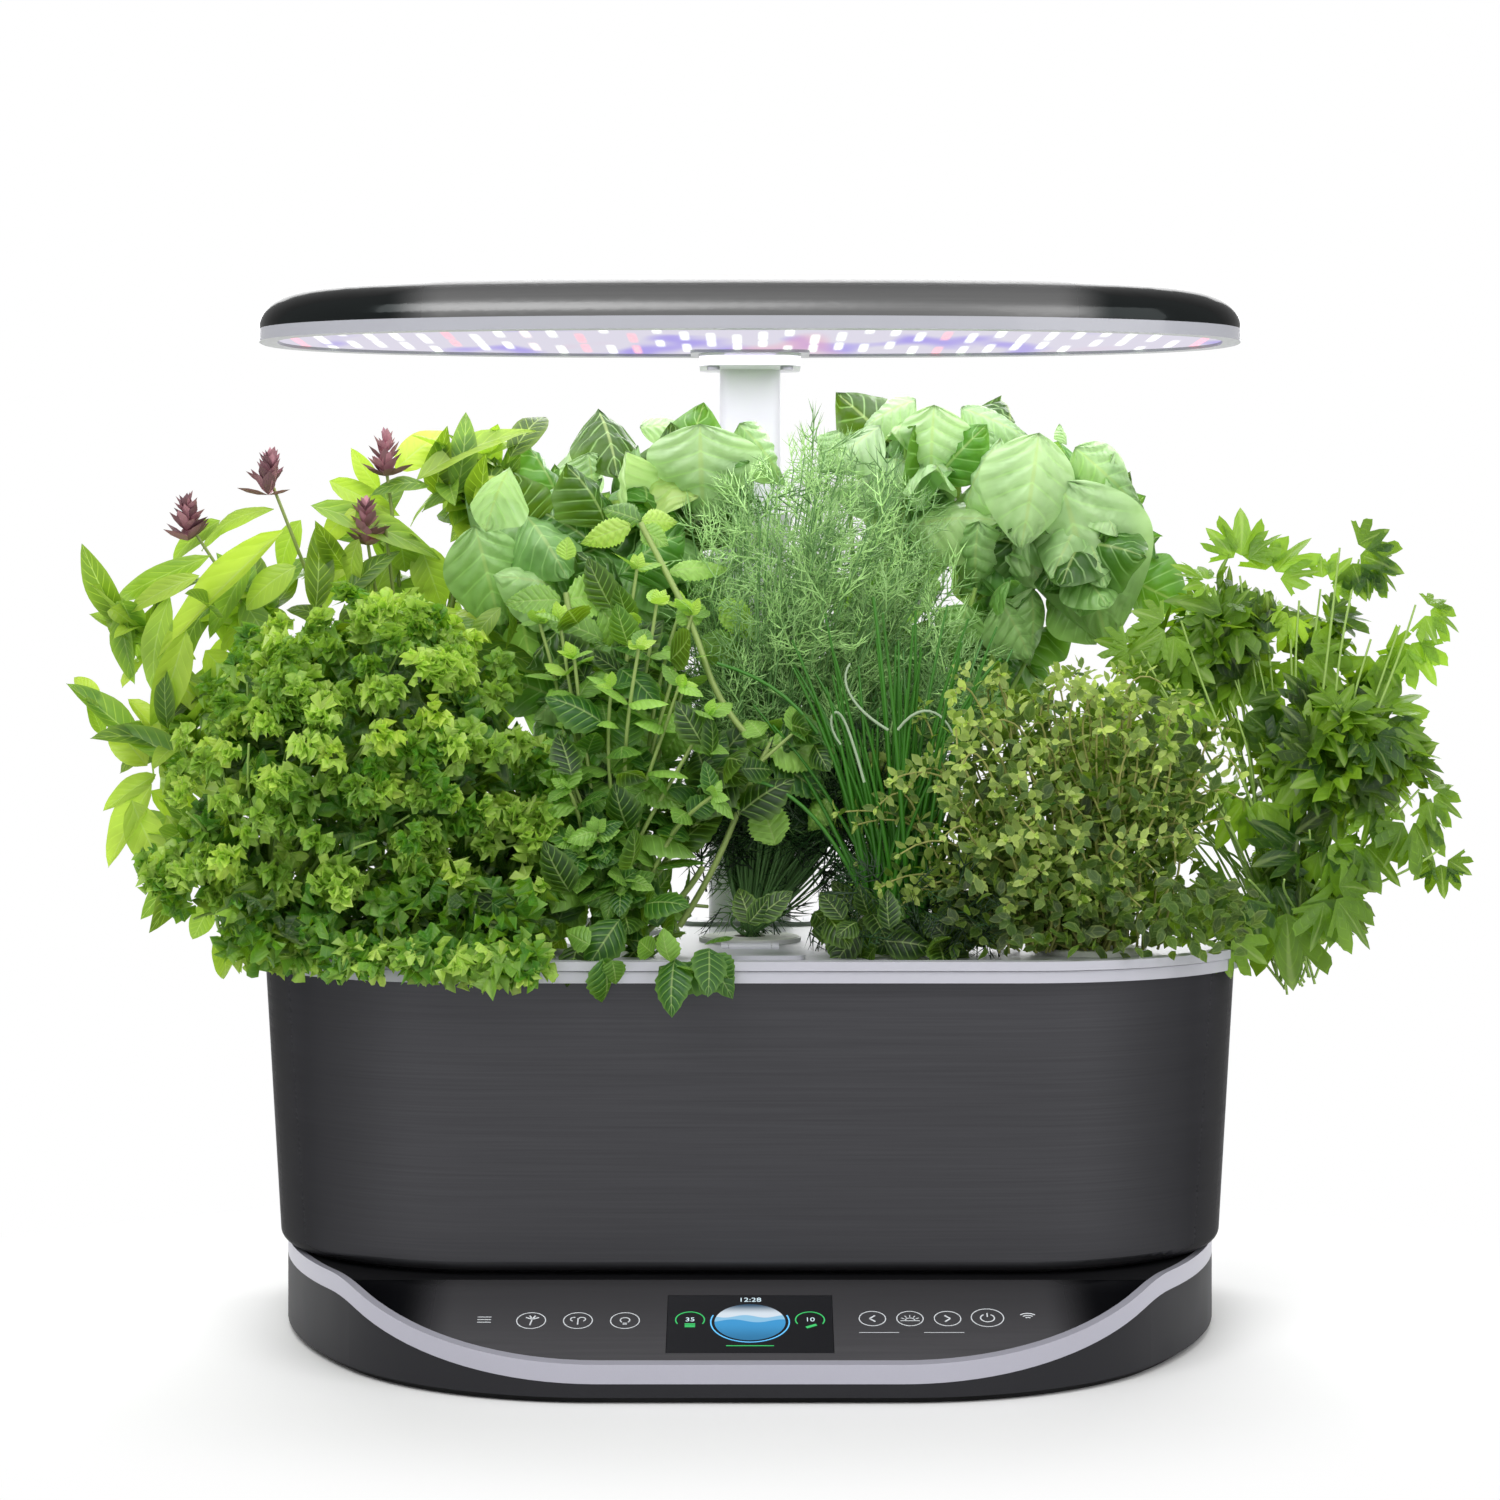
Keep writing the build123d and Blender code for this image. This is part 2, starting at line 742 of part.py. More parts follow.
# ---------------------------------------------------------------- deck
skirt_inset = body_inset + bowl_wall + deck_play
skirt_radius = bowl_top_radius - skirt_inset
deck_underside = deck_floor - deck_thickness
port_y = port_setback - bowl_top_radius
hinge_y = port_y + port_depth / 2 + lid_border + lid_side_gap + lid_knuckle_radius
hinge_z = deck_floor + lid_gap + lid_knuckle_radius
ear_inside = lid_knuckle_width / 2 + lid_side_gap
ear_outside = ear_inside + lid_ear_width
hinge_plane = Plane(origin=(0, hinge_y, hinge_z), x_dir=(0, 1, 0), z_dir=(1, 0, 0))

skirt_bottom = lip_bottom - deck_skirt


def skirt_ring():
    """The wall under the deck that locates it in the bowl."""
    with BuildPart() as ring:
        add(slot_block(skirt_radius, skirt_bottom, deck_underside, skirt_inset))
        add(slot_block(skirt_radius - deck_skirt_wall, skirt_bottom - overcut,
                       deck_underside + overcut, skirt_inset + deck_skirt_wall), mode=Mode.SUBTRACT)
    return ring.part


with BuildPart() as grow_deck:
    add(slot_block(deck_radius, lip_bottom, deck_top))
    add(slot_block(deck_radius - deck_border, deck_floor, deck_top + overcut, deck_border),
        mode=Mode.SUBTRACT)
    add(slot_block(skirt_radius, deck_underside, deck_floor, skirt_inset))
    add(skirt_ring())
    with BuildSketch(Plane.XY.offset(deck_floor)):
        with Locations((ear_inside + lid_ear_width / 2, hinge_y),
                       (-ear_inside - lid_ear_width / 2, hinge_y)):
            Rectangle(lid_ear_width, 2 * lid_knuckle_radius)
    extrude(amount=hinge_z - deck_floor)
    for side in (1, -1):
        with BuildSketch(hinge_plane.offset(side * (ear_inside + lid_ear_width / 2))):
            Circle(lid_knuckle_radius)
        extrude(amount=lid_ear_width / 2, both=True)
    with BuildSketch(hinge_plane):
        Circle(lid_pin_radius)
    extrude(amount=2 * ear_outside, both=True, mode=Mode.SUBTRACT)
    with BuildSketch(Plane.XY.offset(deck_underside)):
        with Locations(*pod_places):
            Circle(pod_radius)
        with Locations((0, port_y)):
            RectangleRounded(port_width, port_depth, port_corner)
    extrude(amount=deck_thickness + overcut, mode=Mode.SUBTRACT)
save(grow_deck.part, "grow_deck")

lid_level = deck_floor + lid_gap
with BuildPart() as fill_lid:
    with BuildSketch(Plane.XY.offset(lid_level)):
        with Locations((0, port_y)):
            RectangleRounded(port_width + 2 * lid_border, port_depth + 2 * lid_border,
                             lid_corner)
        with Locations((0, hinge_y)):
            Rectangle(lid_knuckle_width, 2 * lid_knuckle_radius,
                      align=(Align.CENTER, Align.MAX))
    extrude(amount=lid_thickness)
    with BuildSketch(hinge_plane):
        Circle(lid_knuckle_radius)
    extrude(amount=lid_knuckle_width / 2, both=True)
    with BuildSketch(hinge_plane):
        Circle(lid_pin_radius + running_clearance)
    extrude(amount=lid_knuckle_width, both=True, mode=Mode.SUBTRACT)
save(fill_lid.part, "fill_lid")

with BuildPart() as lid_pin:
    with BuildSketch(hinge_plane):
        Circle(lid_pin_radius)
    extrude(amount=ear_outside, both=True)
save(lid_pin.part, "lid_pin")

# ---------------------------------------------------------------- pods
cup_bottom = deck_floor - pod_depth
cup_top_radius = pod_radius - pod_clearance
cup_bottom_radius = cup_top_radius - pod_taper
flange_top = deck_floor + pod_flange_height


def cup_radius(level):
    """The outside radius of a grow basket at a level."""
    return cup_bottom_radius + pod_taper * (level - cup_bottom) / pod_depth


def cup_cone(inset, low, high):
    """A tapered plug of the basket's form, drawn in by an inset."""
    with BuildPart() as cone:
        with BuildSketch(Plane.XY.offset(low)):
            Circle(cup_radius(low) - inset)
        with BuildSketch(Plane.XY.offset(high)):
            Circle(cup_radius(high) - inset)
        loft(ruled=True)
    return cone.part


with BuildPart() as basket:
    add(cup_cone(0, cup_bottom, deck_floor))
    with BuildSketch(Plane.XY.offset(deck_floor)):
        Circle(pod_flange_radius)
    extrude(amount=pod_flange_height)
    add(cup_cone(pod_wall, cup_bottom + pod_wall, flange_top + overcut), mode=Mode.SUBTRACT)
    for side in (Plane.XZ, Plane.YZ):
        with BuildSketch(side):
            with Locations((0, cup_bottom + slot_level)):
                SlotCenterToCenter(slot_length, slot_width, rotation=90)
        extrude(amount=2 * pod_radius, both=True, mode=Mode.SUBTRACT)

with BuildPart() as sponge:
    add(cup_cone(pod_wall + pod_clearance, cup_bottom + pod_wall, flange_top))

with BuildPart() as pod_label:
    with BuildSketch(Plane.XY.offset(flange_top)):
        Circle(pod_flange_radius - label_border)
        Circle(stem_hole_radius, mode=Mode.SUBTRACT)
    extrude(amount=label_thickness)

for name, single in (("grow_baskets", basket), ("grow_sponges", sponge),
                     ("pod_labels", pod_label)):
    with BuildPart() as group:
        with Locations(*pod_places):
            add(single.part)
    save(group.part, name)

# ---------------------------------------------------------------- pump
shaft_low = inner_floor + pump_wall
chamber_top = inner_floor + pump_height
impeller_low = shaft_low + impeller_lift

with BuildPart() as pump_body:
    with Locations((pump_x, pump_y, inner_floor)):
        Box(pump_width, pump_depth, pump_height, align=centre_low)
    with Locations((pump_x, pump_y, shaft_low)):
        Cylinder(impeller_radius + chamber_gap, pump_height, align=centre_low,
                 mode=Mode.SUBTRACT)
    with Locations((pump_x, pump_y - pump_depth / 2, inner_floor + pump_height / 2)):
        Box(intake_width, pump_depth, intake_height, mode=Mode.SUBTRACT)
save(pump_body.part, "pump_body")

with BuildPart() as pump_cover:
    with Locations((pump_x, pump_y, chamber_top)):
        Box(pump_width, pump_depth, pump_wall, align=centre_low)
    with Locations((pump_x, pump_y + riser_offset, chamber_top)):
        Cylinder(riser_radius - riser_wall, 3 * pump_wall, mode=Mode.SUBTRACT)
save(pump_cover.part, "pump_cover")

with BuildPart() as impeller_shaft:
    with Locations((pump_x, pump_y, shaft_low)):
        Cylinder(impeller_shaft_radius, chamber_top - shaft_low, align=centre_low)
save(impeller_shaft.part, "impeller_shaft")

with BuildPart() as pump_impeller:
    with Locations((pump_x, pump_y, impeller_low)):
        Cylinder(impeller_hub_radius, impeller_height, align=centre_low)
    with Locations((pump_x, pump_y, impeller_low + impeller_height - blade_height)):
        with PolarLocations(impeller_radius / 2, blade_count):
            Box(impeller_radius, blade_thickness, blade_height, align=centre_low)
    with Locations((pump_x, pump_y, shaft_low)):
        Cylinder(impeller_shaft_radius + running_clearance, pump_height, align=centre_low,
                 mode=Mode.SUBTRACT)
save(pump_impeller.part, "pump_impeller")

with BuildPart() as pump_filter:
    with Locations((pump_x, pump_y - pump_depth / 2, inner_floor)):
        Box(pump_width, filter_thickness, pump_height,
            align=(Align.CENTER, Align.MAX, Align.MIN))
save(pump_filter.part, "pump_filter")

with BuildPart() as riser_tube:
    with BuildSketch(Plane.XY.offset(chamber_top + pump_wall)):
        with Locations((pump_x, pump_y + riser_offset)):
            Circle(riser_radius)
            Circle(riser_radius - riser_wall, mode=Mode.SUBTRACT)
    extrude(amount=deck_underside - riser_gap - chamber_top - pump_wall)
save(riser_tube.part, "riser_tube")

# ---------------------------------------------------------------- docking contacts
dock_front = wall_radius(base_top + dock_height) + dock_gap
dock_bottom = base_top - platform_recess
contact_level = dock_bottom + dock_height / 2

with BuildPart() as dock_block:
    with Locations((dock_x, dock_front, dock_bottom)):
        Box(dock_width, dock_depth, dock_height, align=(Align.CENTER, Align.MIN, Align.MIN))
    with BuildSketch(Plane(origin=(dock_x, dock_front, contact_level), z_dir=(0, -1, 0))):
        with GridLocations(dock_pitch, 1, dock_pin_count, 1):
            Circle(dock_pin_radius)
    extrude(amount=-dock_pin_length, mode=Mode.SUBTRACT)
save(dock_block.part, "dock_block")

with BuildPart() as dock_pins:
    with BuildSketch(Plane(origin=(dock_x, dock_front, contact_level), z_dir=(0, -1, 0))):
        with GridLocations(dock_pitch, 1, dock_pin_count, 1):
            Circle(dock_pin_radius)
    extrude(amount=-dock_pin_length)
save(dock_pins.part, "dock_pins")

with BuildPart() as bowl_contact:
    with Locations((dock_x, dock_front - contact_gap, contact_level)):
        Box(contact_width, contact_depth, contact_height,
            align=(Align.CENTER, Align.MAX, Align.CENTER))
    add(tub(0, bowl_bottom, bowl_top), mode=Mode.SUBTRACT)
save(bowl_contact.part, "bowl_contact")

# ---------------------------------------------------------------- level sensor
with BuildPart() as level_stem:
    with Locations((sensor_x, sensor_y, inner_floor)):
        Cylinder(float_radius, sensor_foot, align=centre_low)
        Cylinder(sensor_stem_radius, sensor_height, align=centre_low)
    with Locations((sensor_x, sensor_y, inner_floor + sensor_height - sensor_foot)):
        Cylinder(sensor_cap_radius, sensor_foot, align=centre_low)
save(level_stem.part, "level_stem")

with BuildPart() as level_float:
    with Locations((sensor_x, sensor_y, inner_floor + sensor_foot)):
        Cylinder(float_radius, float_height, align=centre_low)
        Cylinder(sensor_stem_radius + float_bore_play, 3 * float_height, mode=Mode.SUBTRACT)
save(level_float.part, "level_float")

# ---------------------------------------------------------------- plants
# Each crown is a cluster of round masses: offset from its pod, height over the deck, radius.
crowns = {
    "curly_parsley": [(-18, 3, 72, 77), (30, -3, 50, 43), (-64, -10, 40, 45)],
    "mint": [(3, -5, 57, 42), (7, 1, 121, 44), (44, -12, 76, 41), (29, -8, 42, 33),
             (78, 0, 96, 26)],
    "chives": [(0, 0, 62, 20), (0, -2, 92, 28), (-14, -2, 122, 24)],
    "thyme": [(-6, -2, 50, 44), (-30, -4, 62, 46), (22, 0, 70, 40)],
    "dill": [(6, 0, 70, 34), (30, 4, 160, 62), (58, -2, 110, 50), (16, 2, 105, 46)],
    "thai_basil": [(-14, -6, 132, 64), (-76, -14, 140, 42), (22, 4, 190, 44),
                   (-106, -30, 84, 38), (-98, -34, 42, 32), (-128, -16, 134, 26)],
    "left_basil": [(-6, 0, 110, 50), (-30, 0, 166, 56), (28, 0, 178, 50)],
    "right_basil": [(1, 4, 110, 43), (13, 3, 195, 46), (76, -8, 175, 50), (47, -2, 131, 44)],
    "flat_parsley": [(22, -10, 69, 43), (64, -24, 120, 46), (112, -44, 78, 50),
                     (92, -56, 24, 40), (104, -34, 124, 30)],
}


def cluster(name, grow):
    """The round masses of one plant, each grown a little."""
    pod_x, pod_y = pods[name]
    with BuildPart() as masses:
        for across, along, up, radius in crowns[name]:
            with Locations((pod_x + across, pod_y + along, deck_top + up)):
                Sphere(radius + grow, rotation=mass_turn)
    return masses.part


def stem(name, grow):
    """The stem that carries one plant's crown, up to its first round mass."""
    base = flange_top + stem_gap - grow
    with BuildPart() as stalk:
        with Locations((*pods[name], base)):
            Cylinder(stem_radius + grow, deck_top + crowns[name][0][2] - base, align=centre_low)
    return stalk.part


ceiling = lamp_bottom - bracket_thickness - screw_head_height - lift_room
swing = port_depth + 2 * lid_border + 3 * lid_knuckle_radius

with BuildPart() as keep_clear:
    add(slot_block(deck_radius + leaf_gap, 0, deck_top + 2 * leaf_gap))
    with Locations((0, 0, ceiling)):
        Box(room, room, room, align=centre_low)
    with Locations((0, hinge_y + 3 * lid_knuckle_radius, deck_top)):
        Box(port_width + 4 * lid_border, swing + 3 * lid_knuckle_radius, swing,
            align=(Align.CENTER, Align.MAX, Align.MIN))
    add(arm_section(outer_grow + collar_wall + leaf_gap, 0, lamp_bottom))

carved = []
for name in crowns:
    with BuildPart() as plant:
        add(cluster(name, 0))
        add(keep_clear.part, mode=Mode.SUBTRACT)
        for other in carved:
            add(cluster(other, leaf_gap), mode=Mode.SUBTRACT)
        for other in crowns:
            if other != name:
                add(stem(other, leaf_gap), mode=Mode.SUBTRACT)
    carved.append(name)
    crown = plant.part.solids().sort_by(SortBy.VOLUME)[-1]
    with BuildPart() as whole:
        add(crown)
        add(stem(name, 0))
    save(whole.part, name)
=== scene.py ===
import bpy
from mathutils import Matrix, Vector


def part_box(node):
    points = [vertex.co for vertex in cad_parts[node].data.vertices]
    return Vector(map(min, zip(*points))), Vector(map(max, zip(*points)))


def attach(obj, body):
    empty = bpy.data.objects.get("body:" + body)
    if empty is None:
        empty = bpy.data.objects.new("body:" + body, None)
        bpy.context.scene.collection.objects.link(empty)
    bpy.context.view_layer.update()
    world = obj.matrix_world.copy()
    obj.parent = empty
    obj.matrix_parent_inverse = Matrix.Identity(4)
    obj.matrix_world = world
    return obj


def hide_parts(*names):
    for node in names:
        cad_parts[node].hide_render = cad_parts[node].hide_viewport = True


bl_info = {
    "name": "Countertop Garden",
    "version": (1, 0, 0),
    "blender": (4, 5, 0),
    "location": "3D View > Sidebar > Garden",
    "description": "Dresses a countertop water garden with its finishes, its signs "
                   "and its nine herbs",
    "category": "Add Mesh",
}

import math
import random

import bmesh
import bpy
from mathutils import Matrix, Vector

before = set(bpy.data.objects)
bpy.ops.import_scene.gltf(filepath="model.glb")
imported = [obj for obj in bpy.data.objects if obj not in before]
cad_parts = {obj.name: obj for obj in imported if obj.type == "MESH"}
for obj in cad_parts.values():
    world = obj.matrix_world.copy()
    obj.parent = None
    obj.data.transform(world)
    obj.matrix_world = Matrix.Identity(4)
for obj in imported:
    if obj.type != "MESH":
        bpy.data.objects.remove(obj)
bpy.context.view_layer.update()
MM = 0.001


def tint(red, green, blue):
    """A screen colour, 0 to 255 each, as a linear colour."""
    return tuple((c / 255 / 12.92 if c <= 10 else ((c / 255 + 0.055) / 1.055) ** 2.4)
                 for c in (red, green, blue)) + (1.0,)


# ---------------------------------------------------------------- what a user may change
def length(name, description, default):
    return bpy.props.FloatProperty(name=name, description=description, default=default,
                                   min=0.0, subtype="DISTANCE", unit="LENGTH")


def number(name, description, default):
    return bpy.props.FloatProperty(name=name, description=description, default=default, min=0.0)


def count(name, description, default):
    return bpy.props.IntProperty(name=name, description=description, default=default, min=0)


def colour(name, description, default):
    return bpy.props.FloatVectorProperty(name=name, description=description, default=default,
                                         size=4, min=0.0, max=1.0, subtype="COLOR")


class StageSettings(bpy.types.PropertyGroup):
    floor: colour("Floor", "Colour of the floor", tint(250, 250, 250))
    sky: number("Sky", "Brightness of the light from all round", 0.36)
    key: number("Key light", "Power of the large light above the front, in watts", 15.0)
    back: number("Back light", "Power of the light behind the leaves, in watts", 19.0)
    lens: number("Lens light", "Power of the light from the lens onto the herbs, in watts", 0.36)


class HousingSettings(bpy.types.PropertyGroup):
    metal: colour("Dark metal", "Colour of the brushed bowl wrap", tint(71, 71, 74))
    shell: colour("Shell", "Colour of the base shell", tint(46, 46, 49))
    silver: colour("Silver", "Colour of the band round the panel", tint(182, 181, 193))
    rim: colour("Rim", "Colour of the bowl's rim and the planting deck", tint(184, 184, 193))
    panel: colour("Panel", "Colour of the middle of the control panel", tint(104, 103, 106))
    panel_side: colour("Panel ends", "Colour of the panel's dark ends", tint(9, 10, 14))
    sign: colour("Signs", "Colour of the signs on the panel", tint(226, 230, 234))
    water: colour("Water", "Colour of the water on the display", tint(64, 150, 205))
    sign_line: length("Sign line", "Width of the signs' lines", 0.00042)
    sign_ring: length("Sign ring", "Radius of a sign's ring", 0.0060)


class LampSettings(bpy.types.PropertyGroup):
    hood: colour("Hood", "Colour of the lamp's hood", tint(100, 100, 100))
    # painted shade: the colour the hood darkens to towards its ends
    hood_end_painted_shade: colour("Hood ends", "Colour of the hood towards its ends", tint(22, 26, 26))
    trim: colour("Trim", "Colour of the lamp's pale ring", tint(166, 167, 175))
    arm: colour("Arm", "Colour of the telescopic arm", tint(246, 243, 252))
    glow: colour("Glow", "Colour of the lit lens", tint(222, 218, 232))
    violet: colour("Blue light", "Colour of the lens near the blue lights", tint(176, 164, 235))
    rose: colour("Red light", "Colour of the lens near the red lights", tint(236, 170, 190))
    power: number("Glow power", "Brightness of the lit lens", 1.0)


class HerbSettings(bpy.types.PropertyGroup):
    seed: count("Seed", "Starts the leaves' chance places", 7)
    basil_fill: count("Basil leaves", "Leaves of each large basil besides the placed ones", 95)
    thai_fill: count("Thai basil leaves", "Leaves of the Thai basil besides the placed ones", 210)
    mint_fill: count("Mint stems", "Stems of the mint besides the placed leaves", 34)
    curly_fill: count("Curly parsley leaves", "Frilled leaves of the curly parsley", 330)
    flat_fill: count("Flat parsley leaves", "Leaves of the flat parsley besides the placed", 130)
    dill_fill: count("Dill fronds", "Feathery fronds of the dill", 250)
    chive_fill: count("Chives", "Blades of the chives", 66)
    thyme_fill: count("Thyme stems", "Wiry stems of the thyme", 150)
    # A leaf's tone runs between the old and the young colour at random; low and inner leaves get
    # lower tones, which is painted shade.
    basil_young: colour("Basil, young", "Lit colour of the basil leaves", tint(190, 230, 150))
    basil_old: colour("Basil, old", "Deep colour of the basil leaves", tint(96, 160, 58))
    thai_young: colour("Thai basil, young", "Lit colour of the leaves", tint(192, 216, 84))
    thai_old: colour("Thai basil, old", "Deep colour of the leaves", tint(100, 142, 56))
    mint_young: colour("Mint, young", "Lit colour of the mint leaves", tint(186, 238, 110))
    mint_old: colour("Mint, old", "Deep colour of the mint leaves", tint(36, 92, 26))
    curly_young: colour("Curly parsley, young", "Lit colour of the leaves", tint(224, 254, 124))
    curly_old: colour("Curly parsley, old", "Deep colour of the leaves", tint(74, 140, 32))
    flat_young: colour("Flat parsley, young", "Lit colour of the leaves", tint(150, 196, 52))
    flat_old: colour("Flat parsley, old", "Deep colour of the leaves", tint(26, 66, 8))
    dill_young: colour("Dill, young", "Lit colour of the fronds", tint(198, 246, 152))
    dill_old: colour("Dill, old", "Deep colour of the fronds", tint(40, 98, 28))
    chive: colour("Chives", "Colour of the chives", tint(54, 118, 22))
    thyme_young: colour("Thyme, young", "Lit colour of the thyme leaves", tint(216, 236, 130))
    thyme_old: colour("Thyme, old", "Deep colour of the thyme leaves", tint(58, 90, 30))
    bark: colour("Woody stems", "Colour of the thyme's stems", tint(150, 152, 84))
    stalk: colour("Green stems", "Colour of the soft stems", tint(152, 184, 92))
    flower: colour("Flowers", "Colour of the Thai basil's flower heads", tint(146, 104, 112))


SETTINGS = {"garden_stage": StageSettings, "garden_housing": HousingSettings,
            "garden_lamp": LampSettings, "garden_herbs": HerbSettings}


# ---------------------------------------------------------------- shared material effects
MIX_AMOUNT, MIX_A, MIX_B, MIX_RESULT = 0, 6, 7, 2     # the mix node's sockets for colours


class Nodes:
    """Short ways to add and join the nodes of one tree."""

    def __init__(self, tree):
        self.tree = tree

    def add(self, kind, **values):
        node = self.tree.nodes.new(kind)
        for key, value in values.items():
            setattr(node, key, value)
        return node

    def feed(self, socket, value):
        if isinstance(value, bpy.types.NodeSocket):
            self.tree.links.new(value, socket)
        else:
            socket.default_value = value

    def give(self, **values):
        """Feeds the material's shader, with _ for each space in a socket's name."""
        shader = self.tree.nodes["Principled BSDF"]
        for label, value in values.items():
            self.feed(shader.inputs[label.replace("_", " ")], value)

    def math(self, operation, a, b=0.0, c=0.0):
        node = self.add("ShaderNodeMath", operation=operation)
        for socket, value in zip(node.inputs, (a, b, c)):
            self.feed(socket, value)
        return node.outputs[0]

    def mix(self, amount, a, b):
        node = self.add("ShaderNodeMix", data_type="RGBA")
        for socket, value in ((MIX_AMOUNT, amount), (MIX_A, a), (MIX_B, b)):
            self.feed(node.inputs[socket], value)
        return node.outputs[MIX_RESULT]

    def shades(self, mask, shade, low, high):
        """A colour that runs between two shares of its brightness."""
        return self.mix(mask, darker(shade, low), darker(shade, high))

    def ease(self, value, low, high, to_low=0.0, to_high=1.0):
        node = self.add("ShaderNodeMapRange", interpolation_type="SMOOTHSTEP")
        for socket, given in zip(node.inputs, (value, low, high, to_low, to_high)):
            self.feed(socket, given)
        return node.outputs[0]

    def noise(self, scale, detail=2.0, stretch=(1.0, 1.0, 1.0)):
        place = self.add("ShaderNodeTexCoord").outputs["Object"]
        mapping = self.add("ShaderNodeMapping")
        self.feed(mapping.inputs["Vector"], place)
        mapping.inputs["Scale"].default_value = stretch
        node = self.add("ShaderNodeTexNoise")
        self.feed(node.inputs["Vector"], mapping.outputs[0])
        self.feed(node.inputs["Scale"], scale)
        node.inputs["Detail"].default_value = detail
        return node.outputs[0]

    def split(self, source):
        node = self.add("ShaderNodeSeparateXYZ")
        self.feed(node.inputs[0], source)
        return node.outputs

    def place(self):
        return self.split(self.add("ShaderNodeTexCoord").outputs["Object"])

    def across(self):
        """How far a place lies from the middle, to either side."""
        return self.math("ABSOLUTE", self.place()[0])

    def on_leaf(self):
        """A leaf's own map: across it and along it."""
        return self.split(self.add("ShaderNodeUVMap", uv_map="leaf").outputs[0])

    def tone(self):
        """The tone that each copied leaf was given."""
        return self.add("ShaderNodeAttribute", attribute_name="tone").outputs["Fac"]

    def seen(self):
        """1 for rays from the camera, from a reflection or through a clear piece."""
        path = self.add("ShaderNodeLightPath").outputs
        return self.math("MAXIMUM", path["Is Camera Ray"],
                         self.math("MAXIMUM", path["Is Glossy Ray"],
                                   path["Is Transmission Ray"]))

    def bump(self, height, distance, strength=0.4):
        node = self.add("ShaderNodeBump")
        for label, value in (("Strength", strength), ("Distance", distance), ("Height", height)):
            self.feed(node.inputs[label], value)
        self.give(Normal=node.outputs[0])

    def blend(self, amount, second):
        """Ends a material with its shader mixed with a second one."""
        both = self.add("ShaderNodeMixShader")
        first = self.tree.nodes["Principled BSDF"]
        for socket, value in zip(both.inputs, (amount, first.outputs[0], second.outputs[0])):
            self.feed(socket, value)
        self.feed(self.tree.nodes["Material Output"].inputs["Surface"], both.outputs[0])


def new_group(name, inputs, *outputs):
    """A node group of plain numbers: its tree, its nodes, what it is given and gives out."""
    tree = bpy.data.node_groups.new(name, "ShaderNodeTree")
    for label, default in inputs.items():
        socket = tree.interface.new_socket(label, in_out="INPUT", socket_type="NodeSocketFloat")
        socket.default_value = default
    for label in outputs:
        tree.interface.new_socket(label, in_out="OUTPUT", socket_type="NodeSocketFloat")
    n = Nodes(tree)
    return tree, n, n.add("NodeGroupInput").outputs, n.add("NodeGroupOutput").inputs


def grain_group():
    """Long fine brush lines that run level round a wall."""
    tree, n, given, out = new_group("brushed_grain", {"Fineness": 900.0}, "Mask", "Height")
    fine = n.noise(given[0], 3.0, (0.012, 0.012, 1.0))
    broad = n.noise(60.0, 2.0, (0.05, 0.05, 1.0))
    n.feed(out["Mask"], n.math("MULTIPLY_ADD", fine, 0.75, n.math("MULTIPLY", broad, 0.25)))
    n.feed(out["Height"], fine)
    return tree


def skin_group():
    """The faint cloudiness and fine texture of a moulded skin."""
    tree, n, given, out = new_group("moulded_skin", {"Fineness": 1400.0}, "Mask", "Height")
    n.feed(out["Mask"], n.noise(14.0, 3.0))
    n.feed(out["Height"], n.noise(given[0], 2.0))
    return tree


def vein_group():
    """A leaf's midrib and side veins, from its own map across and along the leaf."""
    tree, n, given, out = new_group("leaf_veins", {"Pairs": 7.0, "Slant": 2.4},
                                    "Midrib", "Veins", "Edge", "Tone", "Height")
    over, along, _ = n.on_leaf()
    aside = n.math("ABSOLUTE", n.math("SUBTRACT", over, 0.5))
    row = n.math("MULTIPLY_ADD", along, given["Pairs"],
                 n.math("MULTIPLY", aside, n.math("MULTIPLY", given["Slant"], -1.0)))
    swing = n.math("ABSOLUTE", n.math("SUBTRACT", n.math("FRACT", row), 0.5))
    cushion = n.math("MINIMUM", n.ease(swing, 0.0, 0.42), n.ease(aside, 0.0, 0.10))
    n.feed(out["Midrib"], n.ease(aside, 0.008, 0.035, 1.0, 0.0))
    n.feed(out["Veins"], n.math("MULTIPLY", n.ease(swing, 0.02, 0.10, 1.0, 0.0),
                                n.ease(aside, 0.30, 0.48, 1.0, 0.0)))
    n.feed(out["Edge"], n.ease(aside, 0.30, 0.50))
    n.feed(out["Tone"], n.math("MULTIPLY_ADD", n.noise(70.0), 0.5,
                               n.math("MULTIPLY_ADD", n.tone(), 1.0, -0.25)))
    n.feed(out["Height"], n.math("MULTIPLY_ADD", n.noise(110.0, 1.0), 1.4,
                                 n.math("MULTIPLY", cushion, 0.5)))
    return tree


EFFECTS = {"brushed_grain": grain_group, "moulded_skin": skin_group, "leaf_veins": vein_group}
GROUPS = {}


def effect(n, name, **inputs):
    """What a shared effect gives out, placed in one material."""
    if name not in GROUPS:
        GROUPS[name] = EFFECTS[name]()
    node = n.add("ShaderNodeGroup", node_tree=GROUPS[name])
    for label, value in inputs.items():
        node.inputs[label].default_value = value
    return node.outputs


def start_material(name, **sockets):
    """A new material and its nodes, with plain values set on its shader."""
    material = bpy.data.materials.new(name)
    material.use_nodes = True
    n = Nodes(material.node_tree)
    n.give(**sockets)
    return material, n


def darker(shade, by):
    return tuple(c * by for c in shade[:3]) + (1.0,)


